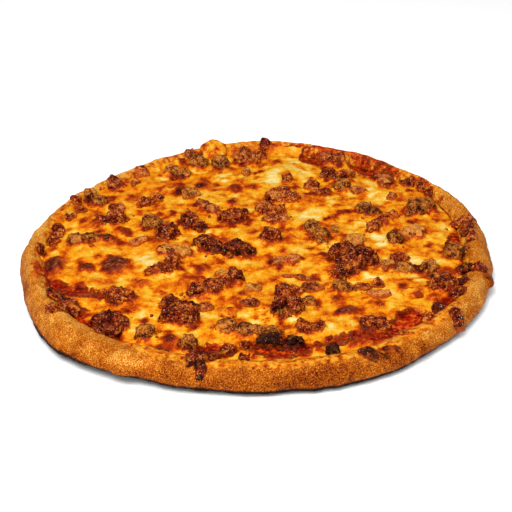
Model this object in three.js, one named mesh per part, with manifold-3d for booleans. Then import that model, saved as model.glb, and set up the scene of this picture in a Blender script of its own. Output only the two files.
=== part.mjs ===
// A whole, uncut meat lovers pizza: a hand-stretched crust with a raised rim, a layer of tomato
// sauce, a layer of melted cheese with browned blisters and small meat bits fused to it, and
// larger chunks of sausage, ground beef, bacon and ham lying on top.
//
// Millimetres, +Z up. The pizza lies flat on z = 0, its front edge towards -Y. The origin is the
// bottom centre of its bounding box. Bearings are counted from +X towards +Y.

import * as THREE from 'three';
import { mergeVertices } from 'three/addons/utils/BufferGeometryUtils.js';
import Module from 'manifold-3d';

const wasm = await Module();
wasm.setup();

// ---- Driving dimensions ------------------------------------------------------------------

// A large pizza, nominally 14 inches across, drawn out of round by hand. Each list goes round
// the pizza in equal steps of bearing, from the right-hand side (+X) through the back (+Y).
const OUTLINE_RADIUS = [172, 174.8, 172, 172.3, 173.8, 166, 161.4, 164.7,
  171.8, 175, 186, 178.2, 173.8, 175.1, 172.4, 173.6];
const RIM_WIDTH = [22, 17, 13, 13, 13, 14, 14, 15, 18, 21, 31, 28, 25, 25, 22, 20];
const CREST_HEIGHT = [18, 18, 18, 19, 19, 18, 17.5, 18, 18.5, 19.5, 21, 21, 20, 20, 19, 18.5];
const CHEESE_RADIUS = [152, 159, 161, 164, 165, 157, 150, 155,
  157, 158, 150, 155, 154, 154, 156, 157];

const BED_HEIGHT = 8;            // top of the baked dough under the sauce
const SAUCE_TOP = 10.4;          // level of the sauce on the bed
const CHEESE_THICKNESS = 2.8;    // melted cheese over the sauce
const CHEESE_EDGE = 1.3;         // cheese thickness at its outer edge
const CHEESE_TAPER = 14;         // the cheese thins out over this width along its edge
const SURFACE_SWELL = 0.8;       // rise and fall of the melted surface
const FOOT_INSET = 15;           // the flat underside stops this far inside the outline
const EDGE_LIFT = 3.5;           // the rim curls up off the table by this much at the front left
const LIFT_BEARING = 237;
const LIFT_SPREAD = 17;
const RIM_WAVE = 0.5;            // fine waviness of the outline
const SLOPE_TOP = 0.86;          // the rim's inner slope starts at this share of its width
const LOBE_FOOT = 2;             // lobes of meat start this far below the surface, then are cut to it
const GAP = 0.3;                 // clearance between neighbouring pieces
const SAUCE_INSET = 2 * GAP;     // the sauce stops this far short of the rim's inner slope

const CHEESE_RINGS = 12;         // the ring k of the cheese has 6k points
const BEARINGS = 6 * CHEESE_RINGS; // facets round the rim, as many as the cheese's last ring
const RING_CROWDING = 0.9;       // below 1 the rings crowd towards the edge
const LOBE_SIDES = 7;            // facets round a lump of meat
const BIT_SIDES = 6;             // facets round a small bit
const GAP_SIDES = 9;             // facets round a gap in the cheese
const CUTTER_HEIGHT = 40;        // taller than the pizza

// Raised blisters of browned cheese: x, y, length, width, height, turn in degrees.
const CHEESE_DOMES = [
  [-147, -27, 17, 24, 4, 0], [-102, -27, 22, 24, 3.5, 0], [-122, -30, 12, 13, 2.5, 0],
  [-101, 21, 15, 12, 2, 0], [62, -89, 19, 14, 2.5, 20], [-60, 90, 11, 28, 2, 8],
  [-43, 100, 15, 23, 2.5, 15], [-18, 93, 11, 16, 2, 0], [-20, 68, 13, 10, 2, 0],
  [57, 43, 11, 14, 2, 0], [25, 13, 11, 10, 1.5, 0], [-77, 92, 12, 8, 1.5, 0],
  [-38, -33, 13, 14, 2, 0], [-79, -52, 11, 12, 2, 0], [-66, -139, 23, 14, 3, 10],
  [-57, -125, 15, 13, 2, 0], [-77, -24, 20, 26, 2, 0], [115, 62, 30, 26, 1.5, 0],
  [20, 120, 40, 30, 1.5, 0], [-125, 40, 24, 30, 1.5, 0],
];

// Gaps in the cheese where the sauce shows: x, y, length, width, turn.
const CHEESE_GAPS = [
  [-155, -33, 22, 4, 104], [-143, -51, 20, 7, -26], [-124, -60, 26, 7, -16], [-108, -64, 16, 5, 0],
  [-27, -134, 25, 11, 8], [15, -132, 36, 15, -4], [57, -121, 32, 6, 22], [80, -115, 22, 5, 10],
  [104, -101, 34, 20, 52], [149, 12, 10, 20, 0], [135, -76, 12, 14, 0],
  [46, 150, 20, 13, -40], [90, 130, 32, 12, -42],
];

// Larger meat pieces. Each row is one piece: a list of lobes that have grown together, each lobe
// with x, y, length, width, height above what it lies on, and turn.
const SAUSAGE_PIECES = [
  [[-47, 135, 16, 13, 9, 0]],
  [[-29, 133, 16, 14, 9, 20]],
  [[-129, 76, 13, 12, 6, 30], [-122, 69, 13, 12, 7, -20]],
  [[-68, 121, 15, 12, 7, 0], [-59, 119, 11, 11, 6, 0]],
  [[68, 95, 14, 12, 7, 10]],
  [[124, 57, 18, 16, 9, -10], [133, 61, 13, 12, 8, 0], [117, 52, 11, 10, 5, 0]],
  [[82, 55, 13, 13, 7, 0], [90, 53, 12, 12, 6, 0]],
  [[-79, 33, 18, 16, 8, -15]],
  [[-134, 9, 14, 12, 6, 0], [-123, 11, 16, 10, 5, 8], [-113, 12, 10, 9, 4, 0]],
  [[42, 26, 13, 15, 7, 20], [48, 15, 13, 15, 7, -15], [49, 7, 10, 9, 4, 0]],
  [[103, 8, 13, 16, 8, 0]],
  [[117, 20, 19, 15, 5, 0]],
  [[73, 6, 18, 18, 6, 0]],
  [[107, -32, 18, 14, 6, 10], [94, -28, 14, 10, 5, 0]],
  [[123, -32, 13, 13, 7, 0]],
  [[60, -59, 17, 12, 6, -10]],
  [[-74, -119, 15, 14, 8, 0]],
  [[-45, -134, 13, 13, 8, 10]],
  [[-20, -111, 17, 13, 6, 0], [-8, -114, 13, 12, 5, 0], [9, -116, 16, 10, 5, -8], [0, -114, 10, 10, 5, 0]],
  [[-65, -6, 19, 13, 5, 0], [-53, -10, 14, 13, 5, 0]],
  [[144, -11, 17, 17, 9, 0], [151, -7, 9, 12, 7, 0]],
];

const BEEF_PIECES = [
  [[-106, 40, 17, 17, 8, 0], [-116, 35, 13, 11, 5, 20]],
  [[-66, 21, 15, 19, 8, 0], [-70, 11, 11, 10, 6, 0]],
  [[-51, 35, 15, 15, 9, 0], [-44, 28, 11, 15, 8, 20]],
  [[-18, 42, 18, 16, 8, 0], [-12, 50, 10, 10, 6, 0], [-25, 47, 10, 9, 5, 0]],
  [[-38, 1, 17, 17, 8, 0], [-15, -10, 25, 17, 10, 0], [-20, 6, 21, 13, 7, 0], [-22, 16, 13, 12, 8, 0],
    [-31, -7, 16, 13, 7, 0], [-12, 17, 8, 12, 8, -20]],
  [[10, 13, 16, 15, 7, 0]],
  [[15, 77, 18, 17, 8, 0], [27, 75, 14, 12, 5, 0], [21, 86, 12, 11, 5, 0]],
  [[6, 56, 14, 13, 7, 0], [16, 54, 14, 11, 6, 0]],
  [[-13, 143, 14, 12, 8, 0], [-4, 141, 13, 10, 7, 0]],
  [[58, 115, 14, 13, 7, 0], [69, 112, 18, 11, 6, 0]],
  [[62, -18, 22, 20, 11, 0], [77, -20, 19, 18, 11, 0], [69, -32, 20, 17, 10, 0], [60, -41, 13, 16, 6, 20]],
  [[-41, -65, 15, 12, 7, 30], [-31, -60, 16, 13, 7, 30], [-22, -53, 14, 11, 6, 40]],
  [[-61, -26, 11, 17, 7, 0], [-66, -36, 15, 10, 6, 0], [-75, -38, 10, 8, 5, 0]],
  [[16, -89, 14, 15, 10, 0], [25, -89, 14, 14, 10, 0], [21, -96, 11, 9, 6, 0]],
  [[20, -67, 14, 13, 7, 0], [27, -64, 10, 11, 5, 0]],
  [[-98, -74, 15, 14, 8, 0], [-90, -72, 11, 11, 6, 0]],
  [[-59, -83, 15, 15, 7, 0], [-48, -88, 16, 15, 7, 0], [-58, -97, 15, 15, 8, 0], [-47, -101, 16, 13, 9, 0]],
  [[135, -57, 16, 15, 7, 0], [140, -67, 12, 16, 7, 0], [126, -58, 12, 12, 6, 0]],
  [[76, -105, 13, 11, 6, 0], [84, -108, 13, 12, 6, 0]],
];

const BACON_PIECES = [
  [[89, 29, 10, 19, 5, -20], [96, 39, 11, 16, 5, -40], [103, 47, 11, 9, 5, 30]],
  [[-104, -101, 17, 10, 6, 12], [-93, -105, 15, 10, 6, -30], [-94, -113, 17, 10, 5, 25],
    [-101, -120, 13, 13, 5, 0]],
  [[-30, -153, 14, 15, 6, -35], [-38, -160, 15, 12, 6, 20], [-36, -167, 9, 9, 5, 0]],
  [[9, -128, 18, 10, 7, 0], [22, -130, 19, 9, 6, 5]],
  [[30, -110, 8, 12, 5, 0], [36, -113, 15, 8, 5, 0], [43, -110, 7, 11, 5, 0]],
  [[-15, -47, 12, 14, 8, 20]],
  [[46, 88, 7, 10, 4, 20], [51, 85, 13, 7, 4, 0], [56, 88, 7, 10, 4, -20]],
  [[104, -19, 14, 9, 5, 0]],
  [[157, 20, 10, 18, 5, 0], [160, 8, 9, 15, 5, -10], [161, 31, 10, 15, 5, 0], [153, 34, 15, 9, 4, 10]],
  [[149, -34, 11, 9, 5, 0], [156, -38, 12, 10, 5, 0], [162, -40, 10, 11, 5, 0]],
  [[-139, -75, 14, 14, 5, 0], [-131, -80, 14, 12, 5, 0], [-127, -89, 16, 13, 5, 30],
    [-136, -97, 17, 11, 4, 20]],
];

const HAM_PIECES = [
  [[-112, 98, 15, 12, 5, 20]],
  [[10, 41, 13, 9, 4, 0], [19, 40, 13, 9, 4, 5]],
  [[103, 103, 16, 17, 5, 0], [98, 111, 12, 12, 5, 0]],
  [[-42, 64, 13, 9, 4, -45], [-34, 57, 13, 9, 4, -45]],
  [[57, 145, 14, 11, 6, 0], [67, 141, 14, 12, 7, 0]],
  [[17, -23, 13, 10, 4, 15], [26, -20, 14, 10, 4, 25]],
];

// Small bits fused to the cheese they lie on: x, y, length, width, height, turn.
const CHEESE_BITS = [
  [-35, 156, 22, 16, 8, 0], [-52, 147, 13, 9, 5, 0], [-8, 157, 16, 8, 5, -45], [4, 150, 8, 8, 6, 0],
  [-8, 118, 8, 9, 5, 0], [24, 108, 8, 10, 6, 0], [43, 97, 12, 9, 6, 30], [-51, 80, 13, 11, 5, 20],
  [-86, 67, 15, 9, 5, 35], [-78, 77, 10, 8, 4, 0], [-97, 102, 6, 13, 4, -15], [-92, 120, 12, 11, 4, 0],
  [-108, 62, 14, 11, 4, 0], [-140, 67, 7, 7, 4, 0], [-135, 57, 7, 7, 4, 0], [-142, 45, 9, 8, 4, 0],
  [-149, 24, 9, 17, 5, 0], [-150, 8, 8, 12, 4, 0], [-88, 7, 17, 10, 3.5, 45], [80, 88, 13, 9, 4, 20],
  [106, 79, 11, 8, 3, 45], [120, 103, 12, 8, 5, 0], [136, 85, 7, 8, 5, 0], [130, 95, 7, 7, 4, 0],
  [58, 25, 7, 9, 4, 0], [-24, -39, 12, 10, 4, 0], [-3, -59, 13, 12, 4, 0], [86, -54, 8, 7, 4, 0],
  [75, -57, 13, 5, 3, -10], [86, -67, 18, 9, 4, -10], [109, -68, 16, 10, 5, -15], [131, -43, 22, 8, 4, 10],
  [40, -59, 16, 12, 4, 10], [30, -46, 27, 6, 3, -18], [36, -76, 11, 12, 4, 0], [-4, -81, 14, 9, 4, 0],
  [-35, -83, 11, 14, 3.5, 0], [-20, -92, 12, 14, 4, 0], [125, -87, 10, 10, 6, 0], [116, -104, 7, 12, 4, -20],
  [146, -51, 9, 9, 5, 0], [51, -139, 9, 9, 7, 0], [-19, -139, 10, 9, 5, 0], [-7, -133, 8, 8, 4, 0],
  [97, -124, 9, 6, 3, -20],
];

// Small bits, a scorched streak and bubbles fused to the bare rim.
const RIM_BITS = [
  [167, -47, 9, 17, 9, 10], [7, 165, 10, 8, 6, 0], [-157, -9, 9, 10, 5, 0], [136, -101, 10, 13, 5, -10],
  [73, -150, 16, 9, 4, 0], [88, -143, 14, 6, 3, 20], [-8, -155, 9, 9, 5, 0], [-160, -45, 9, 20, 2.5, 10],
  [-86, -155, 22, 16, 3, -25], [113, -134, 18, 9, 2, 45],
];

// ---- Small helpers -----------------------------------------------------------------------

const TURN = 2 * Math.PI;
const radians = THREE.MathUtils.degToRad;
const { clamp, lerp, smoothstep } = THREE.MathUtils;

// A repeatable random draw between 0 and 1.
function seededRandom(seed) {
  let state = seed >>> 0;
  return () => {
    state = (state + 0x6d2b79f5) >>> 0;
    let t = Math.imul(state ^ (state >>> 15), 1 | state);
    t = (t + Math.imul(t ^ (t >>> 7), 61 | t)) ^ t;
    return ((t ^ (t >>> 14)) >>> 0) / 4294967296;
  };
}

// Smooth closed curve through values given at equal steps round the pizza.
function around(values, angle) {
  const count = values.length;
  const place = ((angle / TURN) % 1 + 1) % 1 * count;
  const index = Math.floor(place);
  const t = place - index;
  const [a, b, c, d] = [-1, 0, 1, 2].map((step) => values[(index + step + count) % count]);
  return b + 0.5 * t * (c - a + t * (2 * a - 5 * b + 4 * c - d + t * (3 * (b - c) + d - a)));
}

// 1 at a bearing, falling smoothly to 0 away from it.
function nearBearing(angle, bearing, spread) {
  const away = Math.abs(((THREE.MathUtils.radToDeg(angle) - bearing + 540) % 360) - 180);
  return Math.exp(-((away / spread) ** 2));
}

// Distance from a turned ellipse's centre, 1 on the ellipse.
function ellipseDistance(x, y, [cx, cy, length, width], turn) {
  const c = Math.cos(radians(turn));
  const s = Math.sin(radians(turn));
  const along = ((x - cx) * c + (y - cy) * s) / (length / 2);
  const across = ((y - cy) * c - (x - cx) * s) / (width / 2);
  return Math.hypot(along, across);
}

function toSolid(geometry) {
  const bare = geometry.clone();
  bare.deleteAttribute('normal');
  bare.deleteAttribute('uv');
  const merged = mergeVertices(bare, 1e-4);
  return new wasm.Manifold(new wasm.Mesh({
    numProp: 3,
    vertProperties: new Float32Array(merged.attributes.position.array),
    triVerts: new Uint32Array(merged.index.array),
  }));
}

function toGeometry(solid) {
  const mesh = solid.getMesh();
  const geometry = new THREE.BufferGeometry();
  geometry.setAttribute('position', new THREE.BufferAttribute(new Float32Array(mesh.vertProperties), 3));
  geometry.setIndex(new THREE.BufferAttribute(new Uint32Array(mesh.triVerts), 1));
  geometry.computeVertexNormals();
  return geometry;
}

// The biggest body of a cut solid; loose scraps are dropped.
function mainBody(solid) {
  return solid.decompose().reduce((best, body) => (body.volume() > best.volume() ? body : best));
}

// A closed solid from rings of equally many points, with a pole below the first and above the last.
function solidFromRings(rings, lowPole, highPole) {
  const count = rings[0].length;
  const points = [lowPole, ...rings.flat(), highPole];
  const at = (ring, step) => 1 + ring * count + (step % count);
  const faces = [];
  for (let step = 0; step < count; step += 1) {
    faces.push(0, at(0, step + 1), at(0, step));
    for (let ring = 0; ring + 1 < rings.length; ring += 1) {
      faces.push(at(ring, step), at(ring, step + 1), at(ring + 1, step + 1));
      faces.push(at(ring, step), at(ring + 1, step + 1), at(ring + 1, step));
    }
    faces.push(points.length - 1, at(rings.length - 1, step), at(rings.length - 1, step + 1));
  }
  return solidFromPoints(points, faces);
}

function solidFromPoints(points, faces) {
  return new wasm.Manifold(new wasm.Mesh({
    numProp: 3,
    vertProperties: new Float32Array(points.flat()),
    triVerts: new Uint32Array(faces),
  }));
}

function ringOfPoints(place) {
  return Array.from({ length: BEARINGS }, (_, step) => {
    const angle = (step / BEARINGS) * TURN;
    const [radius, height] = place(angle);
    return [radius * Math.cos(angle), radius * Math.sin(angle), height];
  });
}

// ---- Crust -------------------------------------------------------------------------------

function outlineRadius(angle) {
  return around(OUTLINE_RADIUS, angle) + RIM_WAVE * Math.sin(17 * angle + 0.6) * Math.sin(5 * angle);
}

// Half section of the crust at one bearing, from the flat underside out, over the rim and down
// to the bed: pairs of radius and height. Grow makes the upper side that much fatter.
function crustSection(angle, grow = 0, bed = BED_HEIGHT) {
  const outer = outlineRadius(angle);
  const width = around(RIM_WIDTH, angle);
  const crest = around(CREST_HEIGHT, angle);
  const lift = EDGE_LIFT * nearBearing(angle, LIFT_BEARING, LIFT_SPREAD);
  return [
    [outer - FOOT_INSET, 0],
    [outer - 6, 0.7 + 0.8 * lift],
    [outer - 1.6, 3.6 + lift],
    [outer + grow, 8.5 + 0.5 * lift],
    [outer - 0.1 * width + grow, 0.72 * crest + grow],
    [outer - 0.26 * width, 0.93 * crest + grow],
    [outer - 0.46 * width, crest + grow],
    [outer - 0.68 * width - grow, 0.91 * crest + grow],
    [outer - SLOPE_TOP * width - grow, slopeTopHeight(crest) + grow],
    [slopeRadius(outer, width, crest, bed) - grow, bed + grow],
  ];
}

function slopeTopHeight(crest) {
  return 0.7 * crest;
}

// Radius at which the inner slope of the rim reaches a height.
function slopeRadius(outer, width, crest, height) {
  const share = (height - BED_HEIGHT) / (slopeTopHeight(crest) - BED_HEIGHT);
  return outer - lerp(width, SLOPE_TOP * width, share);
}

// The crust, or the room that it takes when its bed is filled up to another level.
function crustBody(grow = 0, bed = BED_HEIGHT) {
  const rings = crustSection(0).map((_, index) => (
    ringOfPoints((angle) => crustSection(angle, grow, bed)[index])
  ));
  return solidFromRings(rings, [0, 0, 0], [0, 0, bed + grow]);
}

// Height of the crust's upper side at a place.
function crustTop(x, y) {
  const radius = Math.hypot(x, y);
  const upper = crustSection(Math.atan2(y, x)).slice(3);
  for (let index = 0; index + 1 < upper.length; index += 1) {
    const [outerRadius, outerHeight] = upper[index];
    const [innerRadius, innerHeight] = upper[index + 1];
    if (radius > innerRadius) {
      const t = clamp((radius - innerRadius) / (outerRadius - innerRadius), 0, 1);
      return lerp(innerHeight, outerHeight, t);
    }
  }
  return BED_HEIGHT;
}

// ---- Sauce -------------------------------------------------------------------------------

// The sauce fills the bed up to its level, out to the inner slope of the rim.
function sauceBody() {
  const ringAt = (height) => ringOfPoints((angle) => {
    const rim = [outlineRadius(angle), around(RIM_WIDTH, angle), around(CREST_HEIGHT, angle)];
    return [slopeRadius(...rim, height) - SAUCE_INSET, height];
  });
  const floor = BED_HEIGHT + GAP;
  return solidFromRings([ringAt(floor), ringAt(SAUCE_TOP)], [0, 0, floor], [0, 0, SAUCE_TOP]);
}

function sauceOrCrustTop(x, y) {
  return Math.max(SAUCE_TOP, crustTop(x, y));
}

// ---- Cheese ------------------------------------------------------------------------------

function cheeseRelief(x, y) {
  const swell = Math.sin(x / 17 + 1.3) * Math.sin(y / 15 + 0.4) + 0.6 * Math.sin((x + 1.7 * y) / 12);
  const domes = CHEESE_DOMES.reduce((rise, dome) => {
    const away = ellipseDistance(x, y, dome, dome[5]);
    return rise + dome[4] * Math.max(0, 1 - away * away * 0.8);
  }, 0);
  return SURFACE_SWELL * swell + domes;
}

function cheeseTop(x, y) {
  const angle = Math.atan2(y, x);
  const inset = around(CHEESE_RADIUS, angle) - Math.hypot(x, y);
  const full = smoothstep(inset, 0, CHEESE_TAPER);
  return sauceOrCrustTop(x, y) + lerp(CHEESE_EDGE, CHEESE_THICKNESS + cheeseRelief(x, y), full);
}

function cheeseSheet(grow = 0) {
  const points = [[0, 0, cheeseTop(0, 0) + grow]];
  const faces = [];
  const ringStart = (ring) => (ring === 0 ? 0 : 1 + 3 * ring * (ring - 1));
  const at = (ring, step) => (ring === 0 ? 0 : ringStart(ring) + (step % (6 * ring)));
  for (let ring = 1; ring <= CHEESE_RINGS; ring += 1) {
    const share = (ring / CHEESE_RINGS) ** RING_CROWDING;
    for (let step = 0; step < 6 * ring; step += 1) {
      const angle = (step / (6 * ring)) * TURN;
      const radius = share * around(CHEESE_RADIUS, angle) + (ring === CHEESE_RINGS ? grow : 0);
      const x = radius * Math.cos(angle);
      const y = radius * Math.sin(angle);
      points.push([x, y, cheeseTop(x, y) + grow]);
    }
    for (let side = 0; side < 6; side += 1) {
      for (let step = 0; step < ring; step += 1) {
        const outer = side * ring + step;
        const inner = side * (ring - 1) + step;
        faces.push(at(ring, outer), at(ring, outer + 1), at(ring - 1, inner));
        if (step + 1 < ring) {
          faces.push(at(ring - 1, inner), at(ring, outer + 1), at(ring - 1, inner + 1));
        }
      }
    }
  }
  const edgeCount = 6 * CHEESE_RINGS;
  const floor = BED_HEIGHT - 1;
  const lowStart = points.length;
  for (let step = 0; step < edgeCount; step += 1) {
    const [x, y] = points[at(CHEESE_RINGS, step)];
    points.push([x, y, floor]);
  }
  const lowPole = points.length;
  points.push([0, 0, floor]);
  for (let step = 0; step < edgeCount; step += 1) {
    const next = (step + 1) % edgeCount;
    const [high, highNext] = [at(CHEESE_RINGS, step), at(CHEESE_RINGS, next)];
    const [low, lowNext] = [lowStart + step, lowStart + next];
    faces.push(low, lowNext, highNext, low, highNext, high, lowPole, lowNext, low);
  }
  return solidFromPoints(points, faces);
}

// An upright prism with an uneven oval outline, which opens the cheese over the sauce.
function gapPrism(gap, index, shrink) {
  const [x, y, length, width, turn] = gap;
  const random = seededRandom(500 + index);
  const outline = Array.from({ length: GAP_SIDES }, (_, side) => {
    const angle = (side / GAP_SIDES) * TURN;
    const swing = 0.85 + 0.3 * random();
    return new THREE.Vector2(
      (length / 2 - shrink) * swing * Math.cos(angle),
      (width / 2 - shrink) * swing * Math.sin(angle),
    );
  });
  const solid = { depth: CUTTER_HEIGHT, bevelEnabled: false };
  const prism = new THREE.ExtrudeGeometry(new THREE.Shape(outline), solid);
  prism.rotateZ(radians(turn));
  prism.translate(x, y, 0);
  return toSolid(prism);
}

function cutGaps(sheet, shrink = 0) {
  return CHEESE_GAPS.reduce((left, gap, index) => left.subtract(gapPrism(gap, index, shrink)), sheet);
}

// ---- Meat --------------------------------------------------------------------------------

// Height of whatever lies bare at a place, under the loose pieces.
function surfaceTop(x, y) {
  const inCheese = Math.hypot(x, y) < around(CHEESE_RADIUS, Math.atan2(y, x));
  const inGap = CHEESE_GAPS.some((gap) => ellipseDistance(x, y, gap, gap[4]) < 0.8);
  return inCheese && !inGap ? cheeseTop(x, y) : sauceOrCrustTop(x, y);
}

// One lobe: a faceted, dented dome draped over the surface, its foot sunk below it.
function lobe([x, y, length, width, height, turn], seed, profile, grow = 0) {
  const random = seededRandom(seed);
  const dented = () => 1 - profile.dent + 2 * profile.dent * random();
  const c = Math.cos(radians(turn));
  const s = Math.sin(radians(turn));
  const placed = (along, across) => [x + along * c - across * s, y + along * s + across * c];
  const ringAt = (share, rise) => Array.from({ length: profile.sides }, (_, side) => {
    const angle = (side / profile.sides) * TURN;
    const swing = share * dented();
    const [cos, sin] = [Math.cos(angle), Math.sin(angle)];
    const [along, across] = [swing * (length / 2) * cos, swing * (width / 2) * sin];
    const level = surfaceTop(...placed(along, across));
    const top = level + rise * height * dented() + grow;
    const foot = level - LOBE_FOOT - grow;
    return { place: placed(along + grow * cos, across + grow * sin), foot, top };
  });
  const rings = profile.shares.map(([share, rise]) => ringAt(share, rise));
  const wall = rings[0].map(({ place, foot }) => [...place, foot]);
  const domed = rings.map((ring) => ring.map(({ place, top }) => [...place, top]));
  const level = surfaceTop(x, y);
  return solidFromRings([wall, ...domed], [x, y, level - LOBE_FOOT - grow], [x, y, level + height + grow]);
}

// Each kind's profile: share of the half width, and share of the height, from the belly upwards.
const CHUNK = { sides: LOBE_SIDES, dent: 0.12, shares: [[1, 0.3], [0.72, 0.82]] };
const SLICE = { sides: LOBE_SIDES, dent: 0.09, shares: [[1, 0.45], [0.8, 0.9]] };
const BIT = { sides: BIT_SIDES, dent: 0.14, shares: [[0.95, 0.45]] };
const KNOB = { sides: BIT_SIDES, dent: 0.12, shares: [[1, 0.4]] };
const KNOB_LENGTH = 12.5;        // a lobe no longer than this, beside a larger one, is a plain knob
const BUBBLE_LENGTH = 20;        // a small bit longer than this gets a chunk's profile

function pieceBody(lobes, seed, kind, grow = 0) {
  return lobes
    .map((row, index) => {
      const isKnob = index > 0 && row[2] <= KNOB_LENGTH;
      return lobe(row, seed + index, isKnob ? KNOB : kind.profile, grow);
    })
    .reduce((whole, body) => whole.add(body));
}

function bitBodies(rows, firstSeed, grow) {
  return rows.map((row, index) => lobe(row, firstSeed + index, row[2] > BUBBLE_LENGTH ? CHUNK : BIT, grow));
}

const KINDS = [
  { name: 'sausage', rows: SAUSAGE_PIECES, profile: CHUNK, seed: 1000, colour: 0x8f5f30, roughness: 0.6 },
  { name: 'beef', rows: BEEF_PIECES, profile: CHUNK, seed: 3000, colour: 0x52200f, roughness: 0.5 },
  { name: 'bacon', rows: BACON_PIECES, profile: SLICE, seed: 5000, colour: 0x5a1710, roughness: 0.4 },
  { name: 'ham', rows: HAM_PIECES, profile: SLICE, seed: 7000, colour: 0x85433a, roughness: 0.5 },
];

// ---- Assembly ----------------------------------------------------------------------------

const pizza = new THREE.Group();

function addPart(name, solid, colour, roughness) {
  const material = new THREE.MeshStandardMaterial({ color: colour, roughness, metalness: 0 });
  const mesh = new THREE.Mesh(toGeometry(solid), material);
  mesh.name = name;
  pizza.add(mesh);
}

const RIM_SEED = 200;
const BIT_SEED = 300;

const addAll = (body, others) => others.reduce((whole, other) => whole.add(other), body);
const cutAll = (body, others) => others.reduce((left, other) => left.subtract(other), body);

const rimBits = (grow) => bitBodies(RIM_BITS, RIM_SEED, grow);
addPart('crust', mainBody(addAll(crustBody(), rimBits(0))), 0xd08a3c, 0.7);
addPart('sauce', mainBody(cutAll(sauceBody(), rimBits(GAP))), 0xa01c10, 0.35);

const filledCrust = addAll(crustBody(GAP, SAUCE_TOP), rimBits(GAP));
const cheeseBits = (grow) => bitBodies(CHEESE_BITS, BIT_SEED, grow);
const cheese = addAll(cutGaps(cheeseSheet()), cheeseBits(0)).subtract(filledCrust);
addPart('cheese', mainBody(cheese), 0xf0a522, 0.35);

let taken = addAll(cutGaps(cheeseSheet(GAP), GAP), cheeseBits(GAP)).add(filledCrust);
for (const kind of KINDS) {
  kind.rows.forEach((lobes, index) => {
    const seed = kind.seed + 100 * index;
    const body = mainBody(pieceBody(lobes, seed, kind).subtract(taken));
    taken = taken.add(pieceBody(lobes, seed, kind, GAP));
    addPart(`${kind.name}_${String(index + 1).padStart(2, '0')}`, body, kind.colour, kind.roughness);
  });
}

export default pizza;
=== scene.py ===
"""Meat lovers pizza: baked crust, tomato sauce, melted cheese, and sausage, beef, bacon and ham.

Sizes are in millimetres until a mesh is made, with +Z up and the front edge towards -Y.
"""

import math
from typing import NamedTuple

import bmesh
import bpy
import numpy as np
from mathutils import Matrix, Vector
from mathutils.bvhtree import BVHTree


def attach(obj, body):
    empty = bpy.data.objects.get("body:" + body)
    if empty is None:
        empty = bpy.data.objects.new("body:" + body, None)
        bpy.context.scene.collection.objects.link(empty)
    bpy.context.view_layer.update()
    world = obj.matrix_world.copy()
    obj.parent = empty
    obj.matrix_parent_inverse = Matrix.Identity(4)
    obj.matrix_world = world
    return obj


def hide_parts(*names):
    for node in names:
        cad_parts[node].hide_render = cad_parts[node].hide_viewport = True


bl_info = {
    "name": "Meat Lovers Pizza",
    "version": (1, 0, 0),
    "blender": (4, 5, 0),
    "location": "View3D > Sidebar > Pizza",
    "description": "Bakes the crust, melts the cheese and lays the meats of a whole pizza",
    "category": "Add Mesh",
}

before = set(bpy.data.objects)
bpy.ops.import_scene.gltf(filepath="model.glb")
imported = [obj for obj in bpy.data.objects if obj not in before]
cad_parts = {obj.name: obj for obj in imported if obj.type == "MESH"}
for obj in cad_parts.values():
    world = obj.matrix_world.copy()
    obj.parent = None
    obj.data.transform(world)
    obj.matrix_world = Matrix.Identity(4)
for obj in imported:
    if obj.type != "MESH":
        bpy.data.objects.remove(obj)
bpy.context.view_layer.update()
MM = 0.001


class Spot(NamedTuple):
    """A soft ellipse on the pizza: middle, size, turn in degrees, and strength."""

    x: float
    y: float
    length: float
    width: float
    turn: float
    strength: float = 1.0


class Lump(NamedTuple):
    """A raised ellipse on the pizza: middle, size, turn in degrees, and how browned or dark."""

    x: float
    y: float
    length: float
    width: float
    height: float
    turn: float
    shade: float = 0.5


def spots(*rows):
    """Spots from rows of their numbers."""
    return [Spot(*row) for row in rows]


def lumps(*rows):
    """Lumps from rows of their numbers."""
    return [Lump(*row) for row in rows]


# ---- Driving dimensions of the solids, in millimetres --------------------------------------------

OUTLINE_RADIUS = [172, 174.8, 172, 172.3, 173.8, 166, 161.4, 164.7,
                  171.8, 175, 186, 178.2, 173.8, 175.1, 172.4, 173.6]
RIM_WIDTH = [22, 17, 13, 13, 13, 14, 14, 15, 18, 21, 31, 28, 25, 25, 22, 20]
CREST_HEIGHT = [18, 18, 18, 19, 19, 18, 17.5, 18, 18.5, 19.5, 21, 21, 20, 20, 19, 18.5]
CHEESE_RADIUS = [152, 159, 161, 164, 165, 157, 150, 155,
                 157, 158, 150, 155, 154, 154, 156, 157]
BED_HEIGHT = 8.0
SAUCE_TOP = 10.4
CHEESE_THICKNESS = 2.8
CHEESE_TAPER = 14.0
SURFACE_SWELL = 0.8
FOOT_INSET = 15.0
EDGE_LIFT = 3.5
LIFT_BEARING = 237.0
LIFT_SPREAD = 17.0
RIM_WAVE = 0.5
SLOPE_TOP = 0.86

# Corners of the crust's half section, from the foot of the underside over the rim to the bed. Each has
# its inset from the outer edge, in mm and in rim widths, its height in mm, and how much of the edge's
# lift and of the crest's height comes on top.
CRUST_SECTION = [
    (FOOT_INSET, 0, 0, 0, 0), (6, 0, 0.7, 0.8, 0), (1.6, 0, 3.6, 1, 0), (0, 0, 8.5, 0.5, 0),
    (0, 0.1, 0, 0, 0.72), (0, 0.26, 0, 0, 0.93), (0, 0.46, 0, 0, 1), (0, 0.68, 0, 0, 0.91),
    (0, SLOPE_TOP, 0, 0, 0.7), (0, 1, BED_HEIGHT, 0, 0),
]
OUTERMOST = 3               # which corner lies on the outer edge
UPPER_SIDE = 9.0            # dough above this height belongs to the upper side

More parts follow.
